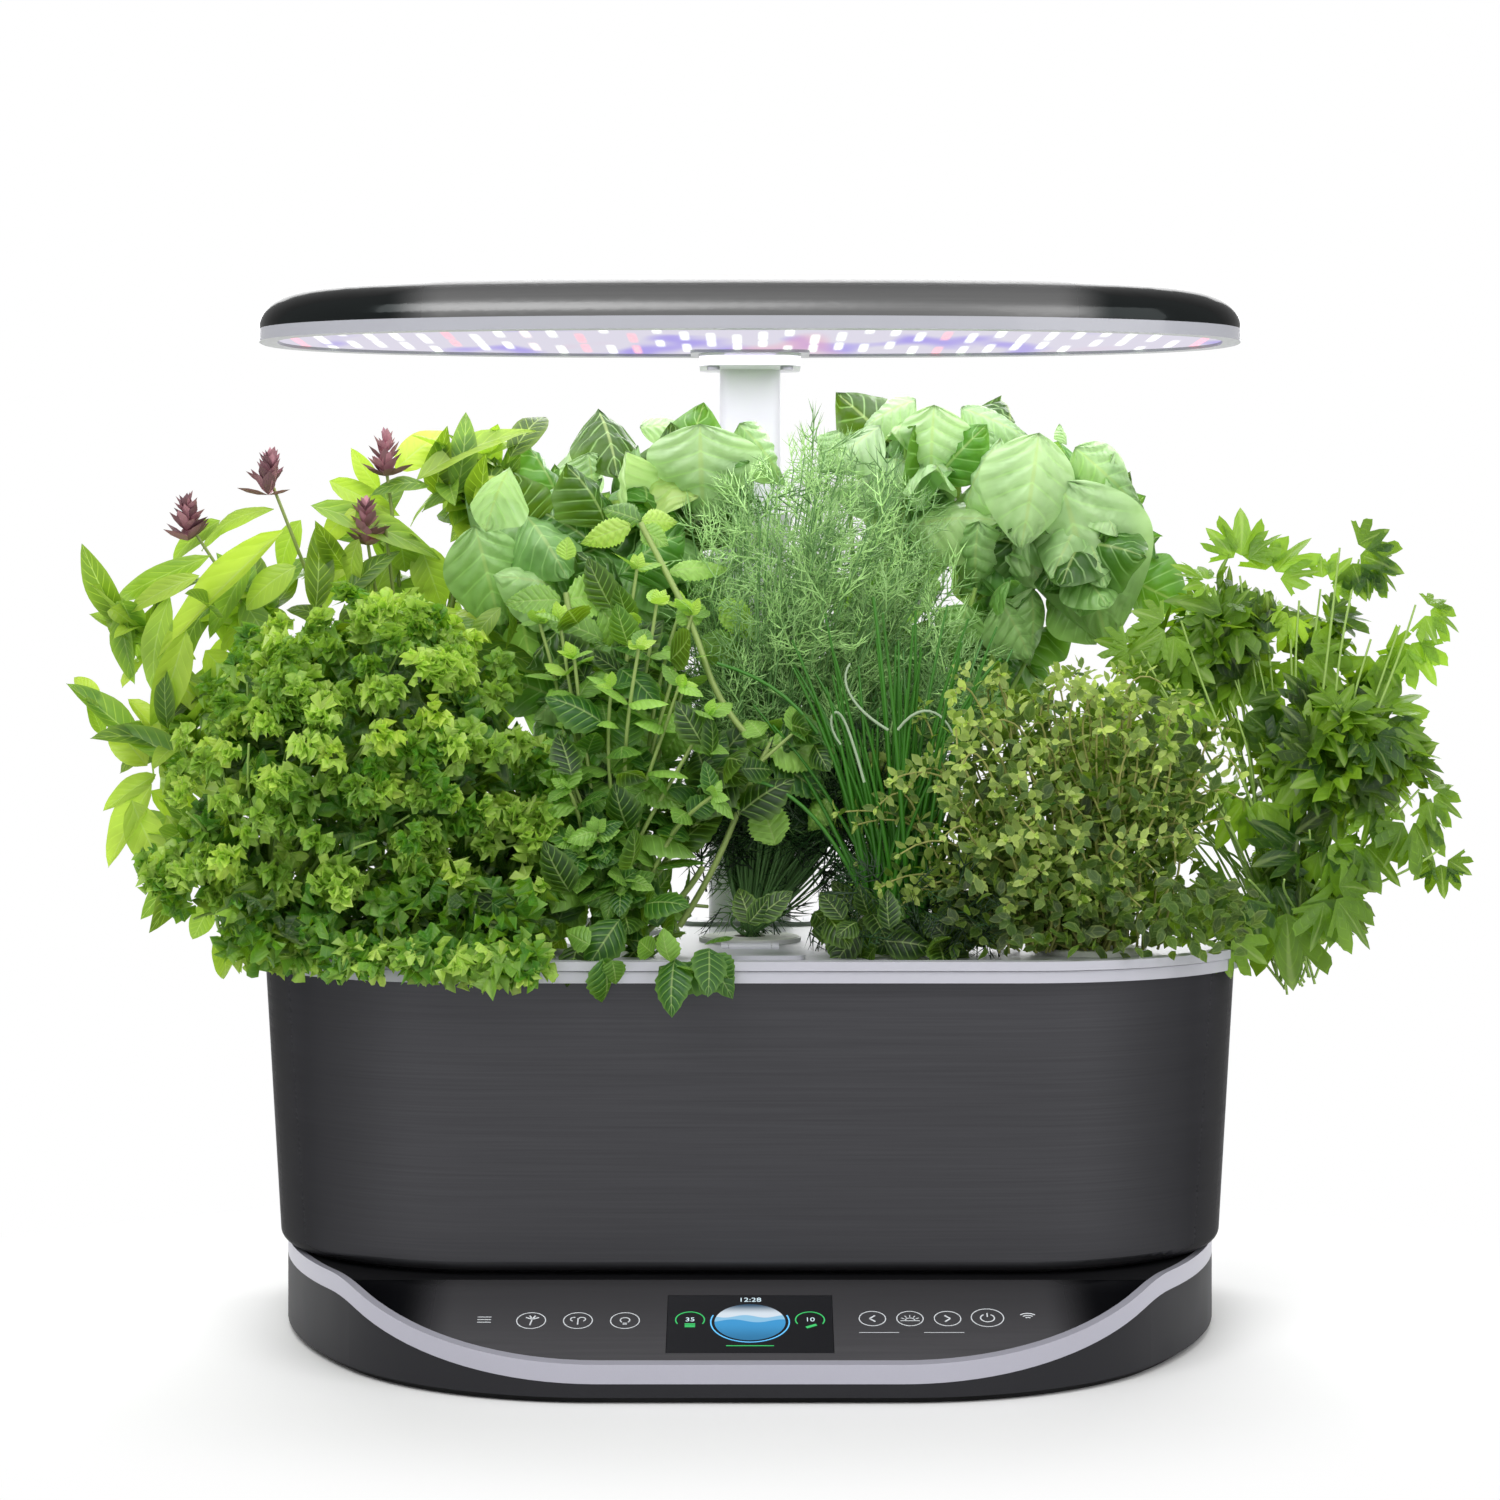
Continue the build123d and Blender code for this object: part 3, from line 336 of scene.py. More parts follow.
def moulded(name, shade, rough=0.45, fineness=1400.0, relief=0.00002, coat=0.0, shine=0.5):
    """Moulded plastic or rubber: a little cloudy, with a fine skin."""
    material, n = start_material(name, Coat_Weight=coat, Specular_IOR_Level=shine)
    skin = effect(n, "moulded_skin", Fineness=fineness)
    n.give(Base_Color=n.shades(skin["Mask"], shade, 0.93, 1.05),
           Roughness=n.ease(skin["Mask"], 0.2, 0.8, rough * 0.85, min(1.0, rough * 1.12)))
    n.bump(skin["Height"], relief)
    return material


def grained(n, fineness, relief, strength):
    """Adds level brush lines, and gives their mask."""
    grain = effect(n, "brushed_grain", Fineness=fineness)
    n.bump(grain["Height"], relief, strength)
    return grain["Mask"]


def brushed(name, shade, rough):
    """Brushed sheet metal with level grain."""
    material, n = start_material(name, Metallic=0.85)
    mask = grained(n, 900.0, 0.00002, 0.3)
    n.give(Base_Color=n.shades(mask, shade, 0.84, 1.16),
           Roughness=n.ease(mask, 0.2, 0.8, rough * 0.85, rough * 1.15))
    return material


def glowing(name, shade, strength):
    """A small light's face, a little hotter in the middle of its cloud."""
    material, n = start_material(name, Roughness=0.5, Emission_Strength=strength)
    tone = n.mix(n.noise(220.0, 1.0), darker(shade, 0.86), shade)
    n.give(Emission_Color=tone, Base_Color=tone)
    return material


def speckled(name, shade, dark, scale):
    """Peat and foam: a rough, flecked body."""
    material, n = start_material(name)
    fleck = n.noise(scale, 6.0)
    n.give(Base_Color=n.mix(n.ease(fleck, 0.35, 0.65), dark, shade),
           Roughness=n.ease(fleck, 0.0, 1.0, 0.95 * 0.9, 0.95))
    n.bump(fleck, 0.0004, 0.8)
    return material


LAMP_LIT_FROM, LAMP_LIT_TO = 0.300, 0.400     # heights over which leaves near the lamp turn pale: painted lamp light
# the pale of painted lamp light, and a yellow-green that is partly young leaves' colour and partly
# painted backlight
LAMP_LIT_LEAF, YOUNG_AND_BACKLIT_LEAF = tint(226, 242, 220), tint(202, 226, 70)
PALE_VEIN, SHONE_THROUGH = tint(196, 216, 138), tint(180, 230, 34)


def leafy(name, young, old, pairs=7.0, slant=2.4, rough=0.42, glow=0.34, pale_vein=0.35,
          relief=0.0004, near=0.0, yellow=0.55):
    """A leaf that lets light through, with veins and its own tone; tones below zero are painted
    shade, and leaves high near the lamp get painted lamp light.
    """
    material, n = start_material(name)
    veins = effect(n, "leaf_veins", Pairs=pairs, Slant=slant)
    shade = n.tone()
    # painted light: the brighter leaves high near the lamp turn pale
    pale = n.math("MULTIPLY", n.ease(n.place()[2], LAMP_LIT_FROM, LAMP_LIT_TO, 0.0, near),
                  n.ease(shade, -0.2, 0.7))
    body = n.mix(veins["Tone"], old, young)
    # painted shade: tones below zero darken towards a deep green
    body = n.mix(n.ease(shade, -1.0, 0.0, 0.95, 0.0), body, darker(old, 0.16))
    body = n.mix(pale, body, LAMP_LIT_LEAF)
    # partly the yellow-green of young leaves, partly painted backlight, on the highest tones
    body = n.mix(n.ease(shade, 0.80, 1.0, 0.0, 0.55), body, YOUNG_AND_BACKLIT_LEAF)
    # painted shade in the grooves between the veins
    body = n.mix(n.ease(veins["Height"], 0.35, 0.75, 0.35, 0.0), body, old)
    lit = n.mix(n.math("MULTIPLY", veins["Midrib"], pale_vein * 1.4), body, PALE_VEIN)
    lit = n.mix(n.math("MULTIPLY", veins["Veins"], pale_vein), lit, darker(young, 1.25))
    lit = n.mix(n.math("MULTIPLY", veins["Edge"], 0.15), lit, darker(young, 1.1))
    n.give(Base_Color=lit, Roughness=n.ease(veins["Tone"], 0.0, 1.0, rough * 1.15, rough * 0.9))
    n.bump(veins["Height"], relief, 0.6)
    through = n.add("ShaderNodeBsdfTranslucent")
    n.feed(through.inputs["Color"], n.mix(yellow, lit, SHONE_THROUGH))
    n.blend(glow, through)
    return material


def add_object(name, data):
    thing = bpy.data.objects.new(name, data)
    bpy.context.scene.collection.objects.link(thing)
    return thing


def end_mesh(name, bm):
    """The mesh of a shape that is ready."""
    mesh = bpy.data.meshes.new(name)
    bm.to_mesh(mesh)
    bm.free()
    return mesh


def dress(names, material):
    """Gives CAD nodes their finish."""
    for name in names:
        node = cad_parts[name]
        if not node.material_slots:
            node.data.materials.append(material)
        for held in node.material_slots:
            held.material = material


def keep_piece(name, bm, body, slot, *materials, smooth=True):
    """Ends a mesh: its object sits at the origin and rides on its body."""
    mesh = end_mesh(name, bm)
    mesh.polygons.foreach_set("use_smooth", [smooth] * len(mesh.polygons))
    piece = add_object(name, mesh)
    for material in materials:
        mesh.materials.append(material)
    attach(piece, body)
    return piece


# ---------------------------------------------------------------- stage
CAMERA_PLACE = (0.0, -1.450, 0.304)
CAMERA_LENS, CAMERA_SHIFT = 79.1, -0.08
FLOOR_REACH = 4.0                         # from the middle to each side
SHADE_ACROSS, SHADE_DEEP = 0.36, 0.26     # radii of the part that keeps the shadow
MIDDLE = (0.0, 0.0, 0.22)                 # what the lamps in front are aimed at
FILL_SHARE = 0.5                          # the fill light's power, as a share of the key's
LENS_WHITE = tint(250, 246, 255)[:3]
LIGHTS = {                                # place, what it is aimed at, and its size
    "key_light": ((-0.5, -1.1, 1.3), MIDDLE, (1.2, 0.8)),
    "fill_light": ((0.9, -1.0, 0.9), MIDDLE, (0.9, 0.9)),
    "back_light": ((0.0, 1.1, 0.85), (0.0, 0.0, 0.28), (1.6, 0.7)),
    "lens_light": ((0.0, 0.019, 0.4305), (0.0, 0.019, 0.0), (0.38, 0.12)),
}


def soft_light(name, power, shade=(1.0, 1.0, 1.0)):
    place, target, size = LIGHTS[name]
    data = bpy.data.lights.new(name, "AREA")
    data.shape = "RECTANGLE"
    data.size, data.size_y = size
    data.energy = power
    data.color = shade
    lamp = add_object(name, data)
    lamp.location = place
    lamp.rotation_euler = (Vector(target) - lamp.location).to_track_quat("-Z", "Y").to_euler()
    lamp.visible_camera = False


class GARDEN_OT_stage(bpy.types.Operator):
    """Camera, floor, sky and lights"""

    bl_idname = "garden.stage"
    bl_label = "Stage"

    def execute(self, context):
        given = context.scene.garden_stage
        scene = context.scene
        data = bpy.data.cameras.new("camera")
        data.lens = CAMERA_LENS
        data.sensor_width = 36.0
        data.shift_y = CAMERA_SHIFT
        data.clip_end = 20.0
        camera = add_object("camera", data)
        camera.location = CAMERA_PLACE
        camera.rotation_euler = (math.pi / 2, 0.0, 0.0)
        scene.camera = camera
        scene.view_settings.view_transform = "Standard"

        bm = bmesh.new()
        bmesh.ops.create_grid(bm, x_segments=1, y_segments=1, size=FLOOR_REACH)
        floor = add_object("floor", end_mesh("floor", bm))
        material, n = start_material("floor", Roughness=0.9, Specular_IOR_Level=0.1)
        n.give(Base_Color=n.mix(n.noise(3.0, 1.0), given.floor, darker(given.floor, 0.99)))
        self.fade(n)
        floor.data.materials.append(material)

        world = bpy.data.worlds.new("sky")
        scene.world = world
        world.use_nodes = True
        n = Nodes(world.node_tree)
        sky = world.node_tree.nodes["Background"]
        sky.inputs["Color"].default_value = (1.0, 1.0, 1.0, 1.0)
        n.feed(sky.inputs["Strength"],
               n.math("MULTIPLY_ADD", n.seen(), 1.0 - given.sky, given.sky))

        soft_light("key_light", given.key)
        soft_light("fill_light", given.key * FILL_SHARE)
        soft_light("back_light", given.back)
        soft_light("lens_light", given.lens, LENS_WHITE)
        return {"FINISHED"}

    def fade(self, n):
        """Past the object's shadow the floor is the same white as the sky."""
        x, y, _ = n.place()
        wide = n.math("POWER", n.math("MULTIPLY", x, 1 / SHADE_ACROSS), 2.0)
        deep = n.math("POWER", n.math("MULTIPLY", y, 1 / SHADE_DEEP), 2.0)
        far = n.ease(n.math("SQRT", n.math("ADD", wide, deep)), 0.85, 1.30)
        n.blend(n.math("MULTIPLY", far, n.seen()), n.add("ShaderNodeEmission"))


# ---------------------------------------------------------------- housing
class GARDEN_OT_housing(bpy.types.Operator):
    """Base, bowl, deck, pods and inner works"""

    bl_idname = "garden.housing"
    bl_label = "Housing"

    def execute(self, context):
        given = context.scene.garden_housing
        black = moulded("black_plastic", tint(14, 14, 16), 0.55, shine=0.12)
        pale = moulded("pale_plastic", given.rim, 0.38, 1800.0)
        grey = moulded("grey_plastic", tint(122, 123, 126), 0.5)
        copper = brushed("bright_pins", tint(206, 170, 96), 0.28)
        steel = brushed("steel", tint(150, 152, 156), 0.3)
        board = moulded("circuit_board", tint(24, 92, 52), 0.4, 2400.0)
        dress(["bowl_wrap"], metal_with_painted_reflection("dark_wrap", given.metal))
        dress(["base_shell"], moulded("base_shell", given.shell, 0.45, 1800.0, shine=0.08))
        dress(["base_trim"], silver_band(given.silver))
        dress(["control_panel"], panel_skin(given.panel, given.panel_side))
        dress(["base_platform", "arm_socket", "base_pan", "dock_block"], black)
        dress(["foot_ring"], moulded("rubber", tint(20, 20, 21), 0.85, 900.0, 0.00005))
        dress(["bowl", "grow_deck", "fill_lid"], pale)
        dress(["display_module"],
              moulded("display_glass", tint(7, 8, 11), 0.12, 2600.0, 0.000004, 0.6))
        dress(["touch_board", "main_board"], board)
        dress(["board_parts", "power_inlet"], black)
        dress(["base_screws", "lid_pin", "impeller_shaft", "lamp_screws"], steel)
        dress(["dock_pins"], copper)
        dress(["bowl_contact", "pump_body", "pump_cover", "level_stem"], black)
        dress(["pump_impeller", "riser_tube", "level_float"], grey)
        dress(["pump_filter"], speckled("filter_foam", tint(60, 62, 66), tint(24, 25, 28), 900.0))
        dress(["grow_baskets"], moulded("basket", tint(226, 226, 228), 0.5))
        dress(["grow_sponges"], speckled("peat", tint(84, 60, 42), tint(36, 25, 17), 420.0))
        dress(["pod_labels"], moulded("label_paper", tint(226, 228, 222), 0.75, 700.0))
        return {"FINISHED"}


EDGE_TINT = tint(96, 96, 98)      # what dark metal reflects at a shallow angle
# Where a finish changes, from and to, in metres from the middle. The wrap's darker band and edge
# are painted reflection, and the hood's darker ends are painted shade.
WRAP_DARKENS, WRAP_CLEARS, WRAP_EDGE = (0.135, 0.178), (0.184, 0.200), (0.192, 0.206)
PANEL_DARKENS, HOOD_PAINTED_SHADE = (0.118, 0.142), (0.130, 0.156)
PANEL_DEPTH = (-0.156, -0.100)    # the panel, front to back, over which its middle runs from bright to dark: painted light


def metal_with_painted_reflection(name, shade):
    """The bowl's wrap: level grain, and painted reflection near each rounded end: a darker band,
    then a darker edge.
    """
    material, n = start_material(name, Metallic=0.8, Specular_Tint=EDGE_TINT)
    mask = grained(n, 1100.0, 0.00002, 0.3)
    across = n.across()
    # painted reflection: a darker band towards each rounded end, and a darker edge past it
    band = n.math("MULTIPLY", n.ease(across, *WRAP_DARKENS),
                  n.ease(across, *WRAP_CLEARS, 1.0, 0.0))
    edge = n.ease(across, *WRAP_EDGE)
    tone = n.shades(mask, shade, 0.72, 1.28)
    tone = n.mix(n.math("MULTIPLY", band, 0.45), tone, darker(shade, 0.25))
    tone = n.mix(n.math("MULTIPLY", edge, 0.4), tone, darker(shade, 0.35))
    n.give(Base_Color=tone, Roughness=n.ease(mask, 0.2, 0.8, 0.30, 0.42))
    return material


def silver_band(shade):
    """The silver band: fine metallic paint."""
    material, n = start_material("silver_band", Metallic=0.35, Roughness=0.31)
    skin = effect(n, "moulded_skin", Fineness=3200.0)
    n.give(Base_Color=n.shades(skin["Height"], shade, 0.94, 1.04))
    return material


def panel_skin(shade, side):
    """The control panel: brushed grey in the middle, with painted light brighter at the front and
    darker at the back, and glossy black towards both ends.
    """
    material, n = start_material("panel_skin", Metallic=0.55, Coat_Weight=0.10,
                                 Coat_Roughness=0.08, Specular_Tint=EDGE_TINT,
                                 Specular_IOR_Level=0.3)
    mask = grained(n, 1300.0, 0.00001, 0.2)
    x, deep, _ = n.place()
    across = n.math("ABSOLUTE", x)
    # painted light: the middle is brighter at the front and darker at the back
    painted_light_front_back = n.shades(n.ease(deep, *PANEL_DEPTH), shade, 1.25, 0.55)
    middle = n.mix(mask, darker(shade, 0.7), painted_light_front_back)
    n.give(Base_Color=n.mix(n.ease(across, *PANEL_DARKENS), middle, side),
           Roughness=n.ease(across, *PANEL_DARKENS, 0.38, 0.1))
    return material


# ---------------------------------------------------------------- signs on the panel
PANEL_SLOPE = math.radians(20.5)
SIGN_ORIGIN = -0.1285         # where the signs' rows are measured from, front to back
SIGN_LIFT = 0.00030           # signs over the display's face
SCREEN_LIFT = 0.00010         # the display's picture over its face
PRINT = 0.00008               # thickness of what is printed
# Where each sign stands, in mm across the panel, and its row, in mm up the slope.
MENU, PALM, SPROUT, BULB = -106.8, -87.9, -69.1, -50.2
BACK, SUN, NEXT, SWITCH, WAVES = 49.2, 64.3, 79.4, 95.5, 111.8
LEFT_ROW, RIGHT_ROW = 2.3, 3.8
GAUGE_UP = 1.6                # the water gauge, in mm up the slope
GAUGE_OVAL = 1.08             # its width over its height
DAYS = 24.1                   # each day counter, in mm from the middle


def on_slope(across, along, lift=SIGN_LIFT):
    """The matrix of a place on the panel: mm across and mm up its slope."""
    up = Vector((0.0, math.cos(PANEL_SLOPE), math.sin(PANEL_SLOPE)))
    out = Vector((0.0, -math.sin(PANEL_SLOPE), math.cos(PANEL_SLOPE)))
    spot = screen_middle(out) + Vector((across * MM, 0, 0)) + up * along * MM + out * lift
    return Matrix.Translation(spot) @ Matrix.Rotation(PANEL_SLOPE, 4, "X")


def screen_middle(out):
    """The place on the display's face that the signs are measured from."""
    points = [v.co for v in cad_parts["display_module"].data.vertices]
    face = max(points, key=lambda point: point.dot(out))
    return Vector((0.0, SIGN_ORIGIN, face.z + (SIGN_ORIGIN - face.y) * math.tan(PANEL_SLOPE)))


def ring(bm, matrix, radius, line):
    """A thin printed ring."""
    made = bmesh.ops.create_circle(bm, cap_ends=True, segments=56, radius=radius)
    face = list({f for v in made["verts"] for f in v.link_faces})
    inner = bmesh.ops.inset_individual(bm, faces=face, thickness=line, depth=0.0)
    bmesh.ops.delete(bm, geom=face, context="FACES_ONLY")
    band = inner["faces"]
    grown = bmesh.ops.extrude_face_region(bm, geom=band)
    top = [g for g in grown["geom"] if isinstance(g, bmesh.types.BMVert)]
    bmesh.ops.translate(bm, verts=top, vec=(0, 0, PRINT))
    both = {v for f in band for v in f.verts} | set(top)
    bmesh.ops.transform(bm, matrix=matrix, verts=list(both))


def bar(bm, matrix, width, height, turn=0.0, shift=(0.0, 0.0)):
    """A thin printed bar, turned by so many degrees."""
    made = bmesh.ops.create_cube(bm, size=1.0)["verts"]
    place = (matrix @ Matrix.Translation((*shift, PRINT / 2))
             @ Matrix.Rotation(math.radians(turn), 4, "Z")
             @ Matrix.Diagonal((width, height, PRINT, 1.0)))
    bmesh.ops.transform(bm, matrix=place, verts=made)


def arc(bm, matrix, radius, line, start, end, steps=14):
    """A printed arc between two angles in degrees, spun from one short bar's end face."""
    start, end = math.radians(start), math.radians(end)
    made = bmesh.ops.create_grid(bm, x_segments=1, y_segments=1, size=0.5)["verts"]
    bmesh.ops.transform(bm, verts=made, matrix=Matrix.Rotation(start, 4, "Z")
                        @ Matrix.Translation((radius, 0, PRINT / 2))
                        @ Matrix.Rotation(math.pi / 2, 4, "X")
                        @ Matrix.Diagonal((line, PRINT, 1.0, 1.0)))
    face = list({f for v in made for f in v.link_faces})
    spun = bmesh.ops.spin(bm, geom=made + list({e for v in made for e in v.link_edges}) + face,
                          cent=(0, 0, 0), axis=(0, 0, 1), angle=end - start, steps=steps,
                          use_duplicate=False)
    last = [g for g in spun["geom_last"] if isinstance(g, bmesh.types.BMVert)]
    seen, edge = set(made) | set(last), list(made)
    while edge:
        for e in edge.pop().link_edges:
            for v in e.verts:
                if v not in seen:
                    seen.add(v)
                    edge.append(v)
    bmesh.ops.transform(bm, matrix=matrix, verts=list(seen))


def meshed(name, data):
    """The shape of a curve or a text, as a mesh."""
    held = add_object(name, data)
    bpy.context.view_layer.update()
    mesh = bpy.data.meshes.new_from_object(held)
    bpy.data.objects.remove(held)
    return mesh


def words(name, text, matrix, size, material):
    """A flat mesh of plain figures."""
    data = bpy.data.curves.new(name, "FONT")
    data.body, data.size = text, size
    data.align_x, data.align_y = "CENTER", "CENTER"
    data.extrude = 0.00004
    mesh = meshed(name + "_text", data)
    mesh.transform(matrix)
    mesh.name = name
    mesh.materials.clear()
    mesh.materials.append(material)
    piece = add_object(name, mesh)
    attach(piece, "base")


class GARDEN_OT_signs(bpy.types.Operator):
    """Signs on the panel and the picture on the display"""

    bl_idname = "garden.signs"
    bl_label = "Signs"

    def execute(self, context):
        given = context.scene.garden_housing
        line, round_sign = given.sign_line, given.sign_ring
        bm = bmesh.new()
        for across in (PALM, SPROUT, BULB):
            ring(bm, on_slope(across, LEFT_ROW), round_sign, line)
        for across in (BACK, SUN, NEXT):
            ring(bm, on_slope(across, RIGHT_ROW), round_sign * 0.92, line)
        ring(bm, on_slope(SWITCH, 4.4), round_sign * 1.12, line)
        for step in (-1, 0, 1):
            bar(bm, on_slope(MENU, 3.0 + 1.9 * step), 0.0055, line)
        for across, way in ((BACK, 1), (NEXT, -1)):
            for turn in (1, -1):
                bar(bm, on_slope(across, RIGHT_ROW + turn * 1.15), 0.0031, line * 1.7,
                    turn=way * turn * 46)
        sun = on_slope(SUN, 2.2)
        arc(bm, sun, 0.0020, line, 0, 180)
        bar(bm, sun, 0.0078, line)
        for ray in range(1, 6):
            turn = ray * math.pi / 6
            bar(bm, sun, 0.0014, line, turn=ray * 30,
                shift=(0.0034 * math.cos(turn), 0.0034 * math.sin(turn)))
        switch = on_slope(SWITCH, 4.2)
        arc(bm, switch, 0.0028, line * 1.3, 120, 420, 22)
        bar(bm, switch, line * 1.3, 0.0028, shift=(0.0, 0.0022))
        for radius in (0.0014, 0.0029, 0.0044):
            arc(bm, on_slope(WAVES, 3.2), radius, line * 1.4, 48, 132, 10)
        palm = on_slope(PALM, LEFT_ROW)
        bar(bm, palm, line * 1.3, 0.0044, turn=-10, shift=(0.0, -0.0012))
        for lean in (-62, -22, 22, 62):
            bar(bm, palm, 0.0030, line * 1.6, turn=90 + lean,
                shift=(-0.0015 * math.sin(math.radians(lean)) + 0.0004,
                       0.0010 + 0.0013 * math.cos(math.radians(lean))))
        sprout = on_slope(SPROUT, LEFT_ROW)
        bar(bm, sprout, line * 1.3, 0.0046, shift=(0.0, -0.0006))
        for side, start, end in ((1, -70, 160), (-1, 70, 250)):
            arc(bm, sprout @ Matrix.Translation((side * 0.0016, 0.0010, 0)), 0.0014, line * 1.2,
                start, end, 10)
        bulb = on_slope(BULB, 2.6)
        arc(bm, bulb, 0.0019, line * 1.2, -50, 230, 18)
        for drop in (-0.0022, -0.0030):
            bar(bm, bulb, 0.0017, line * 1.1, shift=(0.0, drop))
        for across in (51.5, 77.5):
            bar(bm, on_slope(across, -6.4), 0.0160, line * 0.7)
        bmesh.ops.recalc_face_normals(bm, faces=bm.faces)
        print_white = moulded("sign_print", given.sign, 0.5, 1500.0, 0.000002)
        keep_piece("panel_signs", bm, "base", "display", print_white, smooth=False)
        self.draw_display(given)
        return {"FINISHED"}

    def draw_display(self, given):
        """The display's picture: a round water gauge between two day counters."""
        lift = SCREEN_LIFT
        bm = bmesh.new()
        made = bmesh.ops.create_circle(bm, cap_ends=True, segments=72, radius=0.0132)["verts"]
        oval = Matrix.Diagonal((GAUGE_OVAL, 1.0, 1.0, 1.0))
        bmesh.ops.transform(bm, matrix=oval, verts=made)
        map_flat(bm, 0.0286, 0.0264)
        gauge = on_slope(0.0, GAUGE_UP, lift)
        bmesh.ops.transform(bm, matrix=gauge, verts=bm.verts)
        keep_piece("display_gauge", bm, "base", "display", gauge_picture(given.water),
                   smooth=False)
        bm = bmesh.new()
        arc(bm, gauge @ oval, 0.0146, 0.0005, -200, 20, 40)
        keep_piece("display_rim", bm, "base", "display",
                   glowing("display_blue", tint(90, 170, 220), 0.9), smooth=False)
        bm = bmesh.new()
        for across in (-DAYS, DAYS):
            arc(bm, on_slope(across, 3.2, lift), 0.0058, 0.0005, -30, 210, 26)
        for height in (-5.6, -6.6, -7.6):
            bar(bm, on_slope(-DAYS, 3.2 + height + 2.6, lift), 0.0042, 0.0007)
        bar(bm, on_slope(24.6, -1.4, lift), 0.0046, 0.0014, turn=28)
        bar(bm, on_slope(0.0, -15.6, lift), 0.0190, 0.0005)
        keep_piece("display_green", bm, "base", "display",
                   glowing("display_green", tint(54, 168, 92), 0.8), smooth=False)
        pale = glowing("display_figures", tint(178, 196, 204), 0.9)
        words("display_clock", "12:28", on_slope(0.0, 18.0, lift), 0.0042, pale)
        words("display_days_left", "35", on_slope(-DAYS, 3.4, lift), 0.0040, pale)
        words("display_days_right", "10", on_slope(DAYS, 3.4, lift), 0.0040, pale)


def gauge_picture(water):
    """Sky, a pale wave and deep water in one round picture."""
    material, n = start_material("display_water", Roughness=0.25, Emission_Strength=0.9)
    across, up, _ = n.on_leaf()
    swell = n.math("MULTIPLY", n.math("SINE", n.math("MULTIPLY", across, 11.0)), 0.035)
    second = n.math("MULTIPLY", n.math("SINE", n.math("MULTIPLY_ADD", across, 9.0, 2.4)), 0.04)
    sky = n.mix(n.ease(up, 0.72, 1.0), tint(226, 232, 236), tint(40, 46, 54))
    back = n.mix(n.ease(n.math("ADD", up, swell), 0.655, 0.665), tint(148, 198, 226), sky)
    front = n.mix(n.ease(up, 0.0, 0.5), darker(water, 0.5), water)
    tone = n.mix(n.ease(n.math("ADD", up, second), 0.53, 0.54), front, back)
    n.give(Emission_Color=tone, Base_Color=darker(water, 0.2))
    return material


# ---------------------------------------------------------------- lamp
LIGHT_PITCH = 0.023           # of the columns of lights: the lens has two cells to each


class GARDEN_OT_lamp(bpy.types.Operator):
    """Hood, lens, lights and telescopic arm"""

    bl_idname = "garden.lamp"
    bl_label = "Lamp"

    def execute(self, context):
        given = context.scene.garden_lamp
        arm = moulded("arm_white", given.arm, 0.4, 1600.0)
        dress(["arm_outer", "arm_middle", "arm_inner", "lamp_bracket"], arm)
        dress(["lower_collar", "upper_collar"],
              moulded("collar_white", darker(given.arm, 0.86), 0.45))
        dress(["hood_cover"], hood_finish(given.hood, given.hood_end_painted_shade))
        dress(["hood_trim"], moulded("trim_pale", given.trim, 0.32, 1800.0, coat=0.2))
        dress(["lamp_lens"], lit_lens(given))
        dress(["led_board"], moulded("light_board", tint(232, 232, 236), 0.5))
        dress(["heat_sink"], brushed("heat_sink", tint(176, 178, 182), 0.4))
        dress(["leds_white"], glowing("light_white", tint(255, 250, 246), 4.0))
        dress(["leds_red"], glowing("light_red", tint(255, 90, 110), 3.0))
        dress(["leds_blue"], glowing("light_blue", tint(120, 96, 255), 3.0))
        return {"FINISHED"}


def hood_finish(shade, end):
    """The hood: brushed grey in the middle, glossier towards its ends and darker there in painted
    shade.
    """
    material, n = start_material("hood_finish", Metallic=0.7, Coat_Weight=0.12,
                                 Coat_Roughness=0.06, Specular_Tint=EDGE_TINT)
    mask = grained(n, 1100.0, 0.00001, 0.2)
    # painted shade: darker towards the hood's ends
    side = n.ease(n.across(), *HOOD_PAINTED_SHADE)
    n.give(Base_Color=n.mix(side, n.shades(mask, shade, 0.86, 1.14), end),
           Roughness=n.math("MULTIPLY_ADD", side, -0.2, 0.34))
    return material


